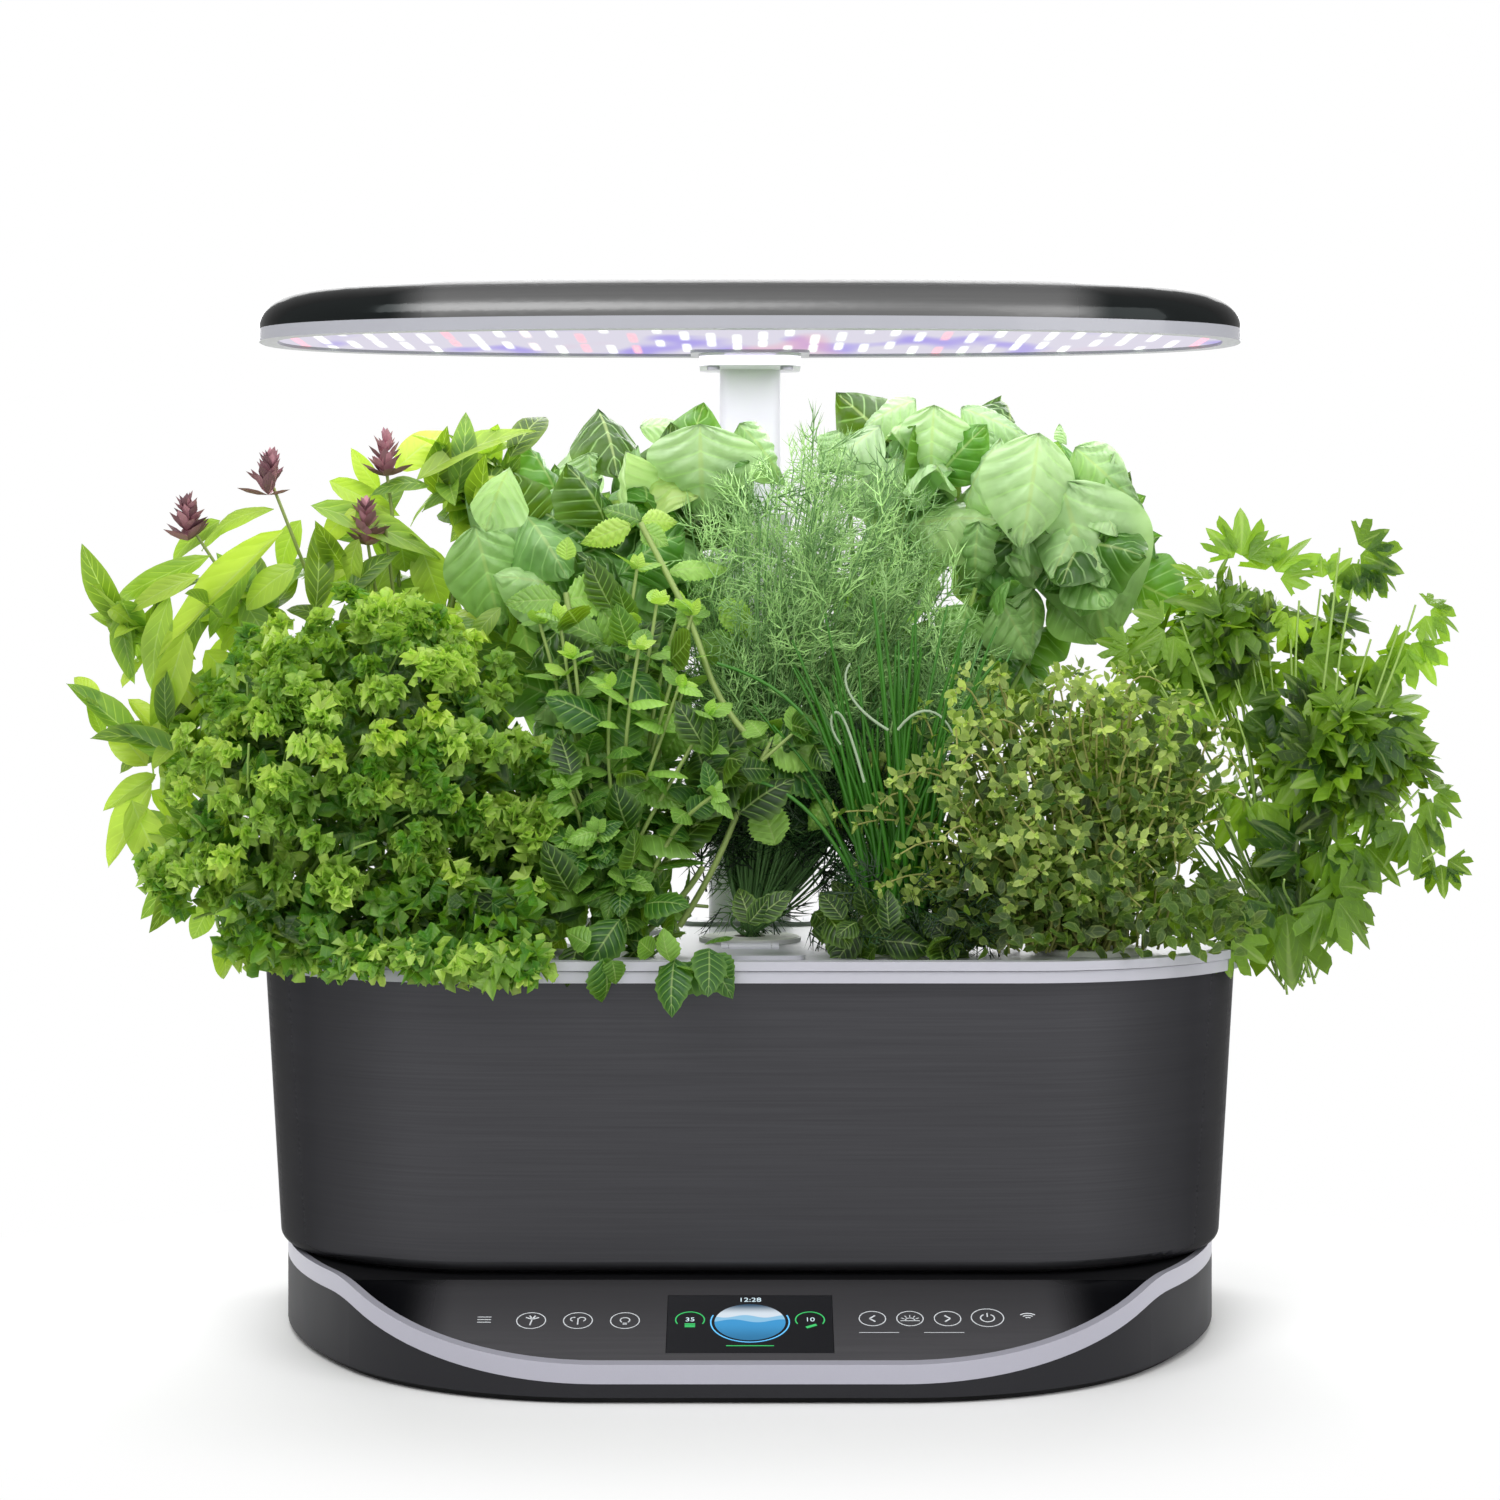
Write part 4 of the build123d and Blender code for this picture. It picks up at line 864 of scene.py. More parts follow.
def lit_lens(given):
    """The lens, lit from behind: single lights drawn out along the lens's ribs."""
    material, n = start_material("lit_lens", Roughness=0.5, Emission_Strength=given.power,
                                 Specular_IOR_Level=0.0)
    x, y, _ = n.place()
    column = n.math("DIVIDE", x, LIGHT_PITCH / 2)
    cell = n.math("FLOOR", column)
    inside = n.math("ABSOLUTE", n.math("SUBTRACT", n.math("FRACT", column), 0.5))
    streak = 0.0
    for seed, middle in ((3.7, -0.030), (8.1, 0.030)):
        dice = n.add("ShaderNodeTexWhiteNoise", noise_dimensions="1D")
        n.feed(dice.inputs["W"], n.math("ADD", cell, seed))
        drawn = n.math("MULTIPLY_ADD", dice.outputs["Value"], 0.050, middle - 0.006)
        reach = n.math("ABSOLUTE", n.math("SUBTRACT", y, drawn))
        lengthy = n.math("MULTIPLY_ADD", dice.outputs["Value"], 0.010, 0.002)
        spot = n.math("MULTIPLY", n.ease(inside, 0.06, 0.24, 1.0, 0.0),
                      n.ease(n.math("SUBTRACT", reach, lengthy), 0.0, 0.020, 1.0, 0.0))
        streak = n.math("MAXIMUM", streak, spot)
    kind = n.add("ShaderNodeTexWhiteNoise", noise_dimensions="1D")
    n.feed(kind.inputs["W"], n.math("MULTIPLY_ADD", cell, 1.31, 9.2))
    picked = kind.outputs["Value"]
    blue_cloud = n.ease(n.noise(26.0, 1.0, (1.0, 0.5, 1.0)), 0.52, 0.68)
    red_cloud = n.ease(n.noise(19.0, 1.0, (1.0, 0.3, 4.0)), 0.58, 0.72)
    field = n.mix(blue_cloud, given.glow, given.violet)
    field = n.mix(n.math("MULTIPLY", red_cloud, 0.5), field, given.rose)
    light = n.mix(n.ease(picked, 0.86, 0.88), (1.0, 1.0, 1.0, 1.0), given.rose)
    n.give(Emission_Color=n.mix(streak, field, light),
           Base_Color=n.mix(streak, darker(given.glow, 0.03), light))
    return material


# ---------------------------------------------------------------- leaves
MERGE = 0.0005                # points of a leaf 1 long that are nearer than this are one


def map_flat(bm, wide=1.0, tall=1.0):
    """Gives a flat shape round the origin its own map, of the name that leaves use."""
    uv = bm.loops.layers.uv.new("leaf")
    for face in bm.faces:
        for loop in face.loops:
            loop[uv].uv = (loop.vert.co.x / wide + 0.5, loop.vert.co.y / tall + 0.5)


def leaf_grid(rows, columns):
    """A flat square grid, 1 wide, with its map."""
    bm = bmesh.new()
    bmesh.ops.create_grid(bm, x_segments=columns, y_segments=rows, size=0.5)
    map_flat(bm)
    return bm


def leaf_blank(outline, rows, columns, cup=0.0, fold=0.0, droop=0.0, pucker=0.0, pairs=7.0,
               teeth=0.0, tooth_count=9.0, wave=0.0, twist=0.0):
    """One leaf, 1 long, from its stalk end at the origin along +Y, facing +Z.

    outline gives half its width at each share of its length.
    """
    bm = leaf_grid(rows, columns)
    for v in bm.verts:
        side, along = v.co.x * 2, v.co.y + 0.5
        half = outline(along)
        if teeth and abs(side) > 0.95:
            half *= 1 - teeth * ((along * tooth_count) % 1.0)
        far = abs(side)
        rise = -cup * half * far ** 1.6 + fold * half * far
        rise += pucker * math.sin(math.pi * 2 * (along * pairs - far * 2.4)) * (1 - far) * far * 4
        rise += wave * far * math.sin(along * 14 + (2.0 if side > 0 else 0.0))
        back = along if abs(droop) < 0.01 else math.sin(droop * along) / droop
        fall = 0.0 if abs(droop) < 0.01 else (1 - math.cos(droop * along)) / droop
        lean = twist * along
        v.co = (side * half * math.cos(lean) - rise * math.sin(lean), back + rise * droop * along,
                rise * math.cos(lean) + side * half * math.sin(lean) - fall)
    bmesh.ops.remove_doubles(bm, verts=bm.verts, dist=MERGE)
    return stored_blank(bm)


def fan_blank(reach, rows, columns, spread, ruffle, ruffles, cup):
    """A fan-shaped leaf: reach gives its radius at each share of its spread."""
    bm = leaf_grid(rows, columns)
    for v in bm.verts:
        side, along = v.co.x * 2, v.co.y + 0.5
        turn = side * spread
        out = reach(side) * along
        rise = ruffle * along ** 1.5 * math.sin(side * ruffles * math.pi) - cup * out * out
        v.co = (out * math.sin(turn), out * math.cos(turn), rise)
    bmesh.ops.remove_doubles(bm, verts=bm.verts, dist=MERGE)
    return stored_blank(bm)


def stored_blank(bm):
    """Keeps a shape for repeated use, with room for its own tone."""
    bm.verts.layers.float.new("tone")
    return end_mesh("blank", bm)


def rest_on(place, along, face, size, width=1.0):
    """The matrix that lays a blank at a place, pointing along and facing a way."""
    along = along.normalized()
    side = along.cross(face)
    if side.length < 1e-4:
        side = along.cross(Vector((0.31, 0.52, 0.79)))
    side.normalize()
    face = side.cross(along)
    turn = Matrix((side, along, face)).transposed().to_4x4()
    return Matrix.Translation(place) @ turn @ Matrix.Diagonal((size * width, size, size, 1.0))


DECK_TOP = 0.172
CROWN_RISE = 0.130            # over this height, from the deck up, the painted shade on low leaves fades out
ARM_ROOM_ACROSS = 0.030       # half the width that is kept free for the arm
ARM_ROOM_FRONT = 0.078        # where that room starts, front to back
HEADROOM = 0.414              # leaves stay under this height, for the lamp
LID_LOW, LID_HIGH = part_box("fill_lid")
LID_MARGIN = 0.002            # free room beside the lid
LID_SWING = LID_HIGH.y - LID_LOW.y + 0.006     # free room round its pin
FOOT_BAND = 0.0005            # points this near a crown's lowest are its foot
BARE_STALK = 0.012            # a crown has no leaves this near its foot
LIP_STRAIGHT = 0.111          # half the straight part of the deck's lip
LIP_NEAR, LIP_FAR = 0.111, 0.122     # how far forward leaves hang over the lip
LIP_TOP = 0.178
STEM_END = 0.999              # just short of a stem's end


def in_the_way(place):
    """Whether a place lies where the arm, the lamp or the swinging lid needs room."""
    by_arm = abs(place.x) < ARM_ROOM_ACROSS and place.y > ARM_ROOM_FRONT
    away = math.hypot(place.y - LID_HIGH.y, place.z - LID_LOW.z)
    by_lid = (LID_LOW.x - LID_MARGIN < place.x < LID_HIGH.x + LID_MARGIN
              and place.z > LID_LOW.z and away < LID_SWING)
    return by_arm or by_lid or place.z > HEADROOM


class Bed:
    """Gathers one herb's leaves and stems."""

    def __init__(self, herb, seed, painted_low_shade=0.0):
        self.herb = herb
        self.painted_low_shade = painted_low_shade
        self.chance = random.Random(seed)
        self.leaves = bmesh.new()
        self.leaves.loops.layers.uv.new("leaf")
        self.leaves.verts.layers.float.new("tone")
        self.lines = []
        self.root = herb_root(herb)

    def about(self, value, by):
        return value * self.chance.uniform(1 - by, 1 + by)

    def wander(self, by):
        return Vector([self.chance.uniform(-by, by) for _ in range(3)])

    def put(self, blank, matrix, tone=None):
        piece = blank.copy()
        piece.transform(matrix)
        shade = self.chance.random() if tone is None else tone
        # painted shade: the lower a leaf stands, the lower its tone
        shade -= self.painted_low_shade * (1 - min(1.0, (matrix.translation.z - DECK_TOP) / CROWN_RISE))
        if any(in_the_way(v.co) for v in piece.vertices):
            bpy.data.meshes.remove(piece)
            return
        piece.attributes["tone"].data.foreach_set("value", [shade] * len(piece.vertices))
        self.leaves.from_mesh(piece)
        bpy.data.meshes.remove(piece)

    def stem(self, points, radius, tip=0.5):
        self.lines.append(([Vector(p) for p in points], radius, tip))

    def end(self, leaf_material, stem_material, slot):
        """Makes the herb's two pieces, which stand for its CAD node."""
        piece = keep_piece(self.herb + "_leaves", self.leaves, "deck", slot, leaf_material)
        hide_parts(self.herb)
        if self.lines:
            strands(self.herb + "_stems", self.lines, slot, stem_material)


def strands(name, lines, slot, material):
    """Round stems along soft curves, as one mesh."""
    data = bpy.data.curves.new(name + "_lines", "CURVE")
    data.dimensions = "3D"
    data.bevel_depth = 1.0
    data.bevel_resolution = 1
    data.resolution_u = 4
    data.use_fill_caps = True
    for points, radius, tip in lines:
        spline = data.splines.new("NURBS")
        spline.points.add(len(points) - 1)
        for index, (held, point) in enumerate(zip(spline.points, points)):
            held.co = (*point, 1.0)
            held.radius = radius * (1 + (tip - 1) * index / (len(points) - 1))
        spline.use_endpoint_u = True
        spline.order_u = min(4, len(points))
    mesh = meshed(name + "_curve", data)
    bpy.data.curves.remove(data)
    bm = bmesh.new()
    bm.from_mesh(mesh)
    bpy.data.meshes.remove(mesh)
    bmesh.ops.recalc_face_normals(bm, faces=bm.faces)
    return keep_piece(name, bm, "deck", slot, material)


def herb_root(herb):
    """Where a herb's stem leaves its basket."""
    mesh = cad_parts[herb].data
    low = min(v.co.z for v in mesh.vertices)
    foot = [v.co for v in mesh.vertices if v.co.z < low + FOOT_BAND]
    return sum(foot, Vector()) / len(foot)


def crown_spots(herb, amount, chance, under, front=0.0):
    """Chance places on a herb's crown, with the way its skin faces there."""
    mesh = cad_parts[herb].data
    mesh.calc_loop_triangles()
    tall = herb_root(herb).z + BARE_STALK
    skin = [(t.area, t.index) for t in mesh.loop_triangles
            if t.center.z > tall and t.normal.z > -0.9]
    sizes = [area * (1 + front * max(0.0, -mesh.loop_triangles[i].normal.y)) for area, i in skin]
    picked = chance.choices([i for _, i in skin], weights=sizes, k=amount)
    spots = []
    for index in picked:
        tri = mesh.loop_triangles[index]
        a, b, c = (mesh.vertices[i].co for i in tri.vertices)
        u, v = chance.random(), chance.random()
        if u + v > 1:
            u, v = 1 - u, 1 - v
        spot = a + (b - a) * u + (c - a) * v
        spots.append((spot - tri.normal * chance.uniform(0.0, under), Vector(tri.normal)))
    return spots


def inner_leaves(bed, blanks, amount, size, depth=(0.014, 0.045)):
    """Leaves inside a crown, so that it isn't see-through, darkened by tones below zero: painted
    shade.
    """
    for spot, out in crown_spots(bed.herb, amount, bed.chance, 0.0):
        spot = spot - out * bed.chance.uniform(*depth)
        way = out * 0.4 + Vector((0, 0, 0.5)) + bed.wander(1.0)
        bed.put(bed.chance.choice(blanks),
                rest_on(spot, way, Vector((0, -1, 0.3)) + bed.wander(0.8), bed.about(size, 0.25)),
                bed.chance.uniform(-1.0, -0.1))


def low_leaves(bed, blanks):
    """Leaves at chance places in the boxes that a herb fills near the deck."""
    for low, high, amount, size, tones in LOW_LEAVES[bed.herb]:
        for _ in range(amount):
            spot = Vector([bed.chance.uniform(a, b) for a, b in zip(low, high)]) * MM
            way = Vector((0, -0.5, 0.1)) + bed.wander(1.0)
            bed.put(bed.chance.choice(blanks),
                    rest_on(spot, way, Vector((0, -0.7, 0.7)) + bed.wander(0.6),
                            bed.about(size, 0.3)), bed.chance.uniform(*tones))


def rim_leaves(bed, blanks, start, end, amount, size, sag):
    """Leaves that hang over the deck's lip, between two places across in mm."""
    for _ in range(amount):
        across = bed.chance.uniform(start, end) * MM
        past = max(0.0, abs(across) - LIP_STRAIGHT)
        reach = bed.chance.uniform(LIP_NEAR, LIP_FAR)
        y = -math.sqrt(max(0.0, reach * reach - past * past))
        spot = Vector((across, y, LIP_TOP - sag * bed.chance.random() ** 0.8))
        way = Vector((0, -0.4, -0.3)) + bed.wander(0.9)
        bed.put(bed.chance.choice(blanks),
                rest_on(spot, way, Vector((0, -1, 0.5)) + bed.wander(0.7),
                        bed.about(size, 0.3)))


def arch(start, end, rise, chance, sway=0.006):
    """Points of a soft bow between two places."""
    middle = (start + end) / 2
    bow = Vector((0, 0, rise))
    jog = Vector([chance.uniform(-sway, sway) for _ in range(3)])
    return [start, start.lerp(end, 0.3) + bow * 0.7 + jog, middle + bow + jog * 0.5,
            start.lerp(end, 0.75) + bow * 0.55 - jog * 0.5, end]


def along_line(points, t):
    """A place on the soft line through points, and its direction."""
    spans = len(points) - 1
    i = min(int(t * spans), spans - 1)
    f = t * spans - i
    p0, p1 = points[max(i - 1, 0)], points[i]
    p2, p3 = points[i + 1], points[min(i + 2, spans)]
    place = 0.5 * (2 * p1 + (p2 - p0) * f + (2 * p0 - 5 * p1 + 4 * p2 - p3) * f * f
                   + (3 * p1 - p0 - 3 * p2 + p3) * f ** 3)
    way = (p2 - p0) * 0.5 + (2 * p0 - 5 * p1 + 4 * p2 - p3) * f \
        + 1.5 * (3 * p1 - p0 - 3 * p2 + p3) * f * f
    return place, (way.normalized() if way.length > 1e-6 else (p2 - p1).normalized())


def paired_leaves(bed, points, blanks, pairs, start, size, top_size, open_up=0.75):
    """Opposite pairs of leaves up a stem, each turned from the one below, and its tip."""
    turn = bed.chance.uniform(0, math.pi)
    for index in range(pairs):
        t = start + (1 - start) * index / max(1, pairs - 1)
        place, way = along_line(points, min(t, STEM_END))
        across = way.orthogonal().normalized()
        across = Matrix.Rotation(turn + index * math.pi / 2, 3, way) @ across
        here = size + (top_size - size) * index / max(1, pairs - 1)
        for side in (1, -1):
            out = across * side * open_up + way * (1 - open_up * 0.6) + bed.wander(0.18)
            face = way + Vector((0, -0.35, 0.5)) + bed.wander(0.25)
            bed.put(bed.chance.choice(blanks),
                    rest_on(place, out, face, bed.about(here, 0.2)))
    place, way = along_line(points, STEM_END)
    for _ in range(3):
        out = way + bed.wander(0.7)
        bed.put(bed.chance.choice(blanks),
                rest_on(place, out, bed.wander(1) - Vector((0, 1, -1)), top_size * 0.6), 1.0)


def plain_stems(bed, amount, under, rise, radius, tip):
    """Stems from a herb's root to chance places on its crown."""
    for spot, _ in crown_spots(bed.herb, amount, bed.chance, under):
        bed.stem(arch(bed.root, spot, rise, bed.chance), radius, tip)


def in_metres(points):
    return [Vector(point) * MM for point in points]


def placed_leaves(bed, rows, blanks, tones=(0.2, 1.0)):
    """Leaves at their own places: x and z of both ends, y and the width, all in mm."""
    for x0, z0, x1, z1, y, wide in rows:
        start, end = in_metres([(x0, y, z0), (x1, y, z1)])
        end.y += bed.chance.uniform(-0.006, 0.004)
        size = (end - start).length
        face = Vector((bed.chance.uniform(-0.45, 0.45), -0.9, bed.chance.uniform(0.1, 0.8)))
        blank = bed.chance.choice(blanks)
        half = max(abs(v.co.x) for v in blank.vertices)
        bed.put(blank, rest_on(start, end - start, face, size, wide * MM / 2 / half / size),
                bed.chance.uniform(*tones))


def basil_outline(along):
    return 0.40 * math.sin(math.pi * min(1.0, along) ** 0.84) ** 0.74 * (1 - 0.12 * along)


def lance_outline(along):
    return 0.17 * math.sin(math.pi * along ** 0.78) ** 0.85


def mint_outline(along):
    return 0.33 * math.sin(math.pi * along ** 0.72) ** 0.85


def small_outline(along):
    return 0.27 * math.sin(math.pi * along ** 0.9) ** 0.8


# Boxes of low leaves: two corners in mm, how many leaves, their size and their tones, mostly below
# zero for painted shade.
LOW_LEAVES = {
    "mint": [((-112, -98, 172), (-4, -36, 196), 46, 0.022, (-0.9, 0.4)),
             ((-10, -96, 171), (100, -36, 186), 90, 0.018, (-1.0, -0.2))],
    "curly_parsley": [((-214, -108, 171), (-84, -60, 198), 330, 0.009, (-0.9, 0.4))],
    "dill": [((-22, -40, 172), (60, 16, 250), 290, 0.022, (-1.0, 0.0)),
             ((42, -84, 172), (104, -34, 200), 100, 0.018, (-0.5, 0.1))],
    "thyme": [((84, -104, 171), (206, -30, 200), 700, 0.0080, (-0.9, 0.4))],
}
# Leaves that stand out: x and z of both ends, y, and the width, all in mm.
BIG_LEAVES = {
    "left_basil": [
        (-77, 341, -123, 383, 20, 46), (-121, 350, -108, 300, 0, 37),
        (-22, 395, -22, 347, 5, 52), (-5, 397, 25, 369, 35, 28), (-73, 384, -67, 360, 35, 23),
        (-50, 396, -27, 399, 45, 14), (-84, 335, -66, 295, 10, 35), (-49, 344, -67, 317, 30, 31)],
    "right_basil": [
        (126, 390, 120, 338, -12, 43), (144, 385, 181, 354, 10, 28), (137, 370, 157, 292, 0, 62),
        (101, 352, 95, 312, 5, 27), (96, 315, 86, 289, 0, 23), (58, 395, 32, 379, 20, 28),
        (75, 408, 48, 400, 40, 24), (82, 404, 78, 365, 15, 34), (95, 404, 130, 394, 35, 26),
        (105, 394, 113, 369, 30, 25), (140, 386, 139, 395, 10, 6), (166, 353, 183, 322, 25, 27),
        (41, 394, 28, 376, 40, 24), (68, 377, 55, 345, 45, 27), (111, 317, 129, 291, 15, 29)],
}
THAI_LEAVES = [
    (-239, 337, -298, 313, 10, 11), (-243, 328, -280, 315, 5, 10), (-205, 348, -266, 294, 0, 17),
    (-256, 319, -278, 266, 5, 14), (-248, 304, -262, 255, 0, 16), (-194, 359, -132, 344, 5, 14),
    (-199, 332, -230, 315, -5, 14), (-174, 357, -194, 344, 5, 12), (-213, 358, -259, 355, 25, 9),
    (-237, 353, -265, 338, 25, 11), (-172, 344, -185, 319, 0, 13), (-156, 348, -153, 328, 15, 16),
    (-160, 376, -134, 401, 35, 16), (-150, 371, -101, 408, 30, 13), (-140, 370, -127, 388, 40, 12),
    (-287, 273, -300, 285, 5, 9), (-286, 258, -291, 275, 5, 9), (-266, 244, -287, 268, 5, 16),
    (-263, 240, -287, 225, 10, 11), (-264, 236, -286, 200, 5, 17), (-272, 229, -257, 190, 0, 18),
    (-256, 223, -234, 192, -5, 16), (-265, 233, -238, 215, 8, 12), (-237, 185, -245, 165, 0, 11),
    (-234, 170, -223, 146, -5, 12), (-189, 371, -157, 356, 30, 12), (-222, 335, -242, 300, 15, 13),
    (-187, 335, -201, 306, 20, 15), (-147, 342, -136, 311, 20, 18), (-167, 367, -180, 385, 35, 10),
    (-255, 255, -237, 233, 10, 15), (-249, 277, -260, 246, 15, 15), (-200, 353, -220, 326, 18, 13),
    (-243, 295, -223, 273, 20, 16), (-177, 322, -159, 300, 10, 15)]
MINT_LEAVES = [
    (-47, 351, -66, 359, -30, 13), (-47, 351, -29, 352, -30, 12), (-51, 349, -76, 342, -32, 13),
    (-47, 348, -35, 340, -34, 11), (-35, 329, -7, 336, -30, 12), (-79, 317, -53, 322, -36, 20),
    (-81, 317, -106, 317, -36, 15), (-79, 334, -79, 344, -34, 11), (-63, 300, -90, 313, -38, 15),
    (-62, 298, -90, 288, -40, 14), (-38, 278, -77, 279, -38, 22), (-22, 306, -26, 319, -42, 17),
    (-87, 274, -71, 278, -48, 13), (-48, 239, -67, 242, -62, 14), (-46, 237, -27, 232, -62, 14),
    (-48, 236, -48, 211, -64, 14), (-46, 240, -37, 253, -60, 14), (-49, 241, -58, 253, -60, 13),
    (-45, 237, -54, 228, -66, 11), (8, 258, -18, 247, -50, 22), (7, 256, 35, 250, -50, 20),
    (9, 249, 35, 233, -44, 18), (5, 259, -1, 269, -52, 14), (11, 213, 3, 235, -56, 19),
    (18, 211, 47, 208, -58, 21), (19, 210, 26, 190, -60, 19), (-20, 205, 3, 211, -62, 14),
    (-21, 203, -36, 197, -62, 15), (-19, 203, -3, 196, -64, 15), (-74, 218, -64, 204, -64, 16),
    (-2, 181, 13, 176, -66, 18), (-25, 178, -12, 161, -68, 18), (-22, 300, 2, 289, -30, 17),
    (-13, 317, 4, 300, -20, 16), (-64, 313, -47, 295, -36, 17), (-55, 266, -79, 257, -46, 19),
    (-26, 266, -40, 249, -46, 19), (-68, 249, -81, 232, -50, 17), (-42, 211, -55, 190, -52, 20),
    (-80, 198, -68, 177, -58, 18), (2, 199, -3, 182, -60, 17), (-13, 190, 4, 165, -64, 17),
    (-59, 188, -42, 169, -56, 18), (34, 232, 21, 219, -44, 14)]
MINT_RUNNERS = [
    [(-47, -34, 350), (-34, -40, 325), (-20, -46, 300), (-16, -48, 275), (0, -50, 258)],
    [(9, -50, 256), (0, -52, 240), (-6, -54, 225), (-16, -52, 200), (-30, -48, 178)],
    [(-48, -62, 237), (-46, -58, 215), (-50, -52, 190), (-58, -48, 176)],
    [(-20, -62, 204), (-28, -56, 190), (-44, -50, 176)],
    [(-79, -36, 320), (-74, -40, 290), (-68, -44, 240), (-63, -46, 176)]]
# The same for the flat parsley, without the width.
FLAT_LEAVES = [
    (217, 328, 219, 356, 10), (227, 322, 243, 346, 5), (205, 322, 190, 335, 5),
    (251, 322, 264, 335, 0), (267, 335, 285, 325, -5), (258, 340, 286, 330, -8),
    (284, 306, 300, 282, -10), (290, 315, 310, 307, -14), (237, 300, 259, 278, -5),
    (220, 300, 202, 273, 0), (253, 273, 277, 247, -12), (235, 256, 257, 226, -15),
    (274, 265, 291, 239, -18), (282, 230, 299, 200, -22), (290, 235, 309, 225, -22),
    (298, 209, 300, 189, -25), (222, 239, 202, 213, -15), (241, 218, 267, 196, -30),
    (212, 198, 195, 174, -50), (227, 198, 229, 153, -50), (242, 198, 264, 172, -50),
    (197, 177, 218, 164, -55), (187, 308, 165, 295, -20), (178, 278, 200, 256, -20),
    (169, 295, 151, 300, -25), (194, 239, 186, 209, -25), (272, 300, 285, 278, -6),
    (241, 317, 224, 300, -4), (259, 218, 281, 196, -26), (210, 273, 232, 256, -8),
    (187, 198, 174, 172, -50), (242, 278, 220, 264, -2)]
# Places x, y and z in mm.
FLOWER_HEADS = [(-213, 10, 372), (-163, 22, 380), (-250, 16, 352), (-170, 6, 350)]


class GARDEN_OT_large_basil(bpy.types.Operator):
    """Both large-leaf basils"""

    bl_idname = "garden.large_basil"
    bl_label = "Large basil"

    def execute(self, context):
        given = context.scene.garden_herbs
        heroes = [leaf_blank(basil_outline, 32, 16, cup=0.65 + 0.2 * i, droop=0.5 + 0.3 * i,
                             pucker=0.030, pairs=5.0, wave=0.02 * i) for i in range(3)]
        blanks = [leaf_blank(basil_outline, 14, 6, cup=0.55 + 0.2 * i, droop=0.6 + 0.3 * i,
                             pucker=0.03, pairs=4.0, wave=0.02 * i) for i in range(3)]
        leaf = leafy("basil_leaf", given.basil_young, given.basil_old, 6.0, 3.0,
                     rough=0.34, glow=0.36, relief=0.0016, near=0.42, yellow=0.35)
        stalk = moulded("basil_stem", given.stalk, 0.5, 1500.0)
        for herb in ("left_basil", "right_basil"):
            bed = Bed(herb, given.seed + len(herb))
            placed_leaves(bed, BIG_LEAVES[herb], heroes, tones=(0.35, 0.82))
            for spot, out in crown_spots(herb, given.basil_fill, bed.chance, 0.02):
                way = out * 0.6 + Vector((0, 0, -0.25)) + bed.wander(0.5)
                face = out + Vector((0, -0.5, 0.9)) + bed.wander(0.3)
                size = bed.about(0.036, 0.3)
                bed.put(bed.chance.choice(blanks),
                        rest_on(spot - way.normalized() * size * 0.7, way, face, size))
            inner_leaves(bed, blanks, given.basil_fill, 0.036, (0.020, 0.050))
            plain_stems(bed, 9, 0.03, 0.008, 0.0016, 0.6)
            bed.end(leaf, stalk, "leaf_basil")
        return {"FINISHED"}


class GARDEN_OT_thai_basil(bpy.types.Operator):
    """Thai basil with its purple flower heads"""

    bl_idname = "garden.thai_basil"
    bl_label = "Thai basil"

    def execute(self, context):
        given = context.scene.garden_herbs
        bed = Bed("thai_basil", given.seed + 1)
        blanks = [leaf_blank(lance_outline, 10, 4, cup=-0.2 + 0.3 * i, fold=0.35,
                             droop=0.3 + 0.45 * i, wave=0.008, twist=0.25 * (i - 1))
                  for i in range(3)]
        leaf = leafy("thai_leaf", given.thai_young, given.thai_old, 8.0, 3.4,
                     rough=0.4, glow=0.38)
        placed_leaves(bed, THAI_LEAVES, blanks)
        for spot, out in crown_spots("thai_basil", given.thai_fill, bed.chance, 0.035):
            way = out + Vector((0, 0, -0.25)) + bed.wander(0.5)
            size = bed.about(0.036, 0.25)
            bed.put(bed.chance.choice(blanks),
                    rest_on(spot - way.normalized() * size * 0.8, way,
                            out + Vector((0, -0.4, 0.7)), size))
        inner_leaves(bed, blanks, given.thai_fill // 2, 0.036)
        plain_stems(bed, 12, 0.02, 0.012, 0.0014, 0.5)
        for top in in_metres(FLOWER_HEADS):
            bed.stem(arch(bed.root, top, 0.01, bed.chance), 0.0014, 0.5)
        stalk = moulded("thai_stem", tint(132, 148, 78), 0.5, 1500.0)
        bed.end(leaf, stalk, "leaf_thai")
        self.flowers(given.flower)
        return {"FINISHED"}

    def flowers(self, shade):
        """Whorls of small pointed bracts round the tops of the stems."""
        petal = leaf_blank(small_outline, 3, 2, fold=0.5, droop=-0.6)
        heads = Bed("thai_basil", 3)
        for x, y, z in FLOWER_HEADS:
            for tier in range(5):
                base = Vector((x, y, z - 8 + tier * 3.6)) * MM + heads.wander(0.0008)
                for turn in range(8):
                    angle = turn * math.pi * 2 / 8 + tier * 0.7
                    out = Vector((math.cos(angle), math.sin(angle), 0.3 + 0.18 * tier))
                    heads.put(petal, rest_on(base, out + heads.wander(0.4), Vector((0, 0, 1)),
                                             heads.about(0.0125 - 0.0012 * tier, 0.2), 0.8))
        material, n = start_material("flower_bract", Roughness=0.6)
        n.give(Base_Color=n.shades(n.tone(), shade, 0.6, 1.9))
        keep_piece("thai_basil_flowers", heads.leaves, "deck", "leaf_thai", material)


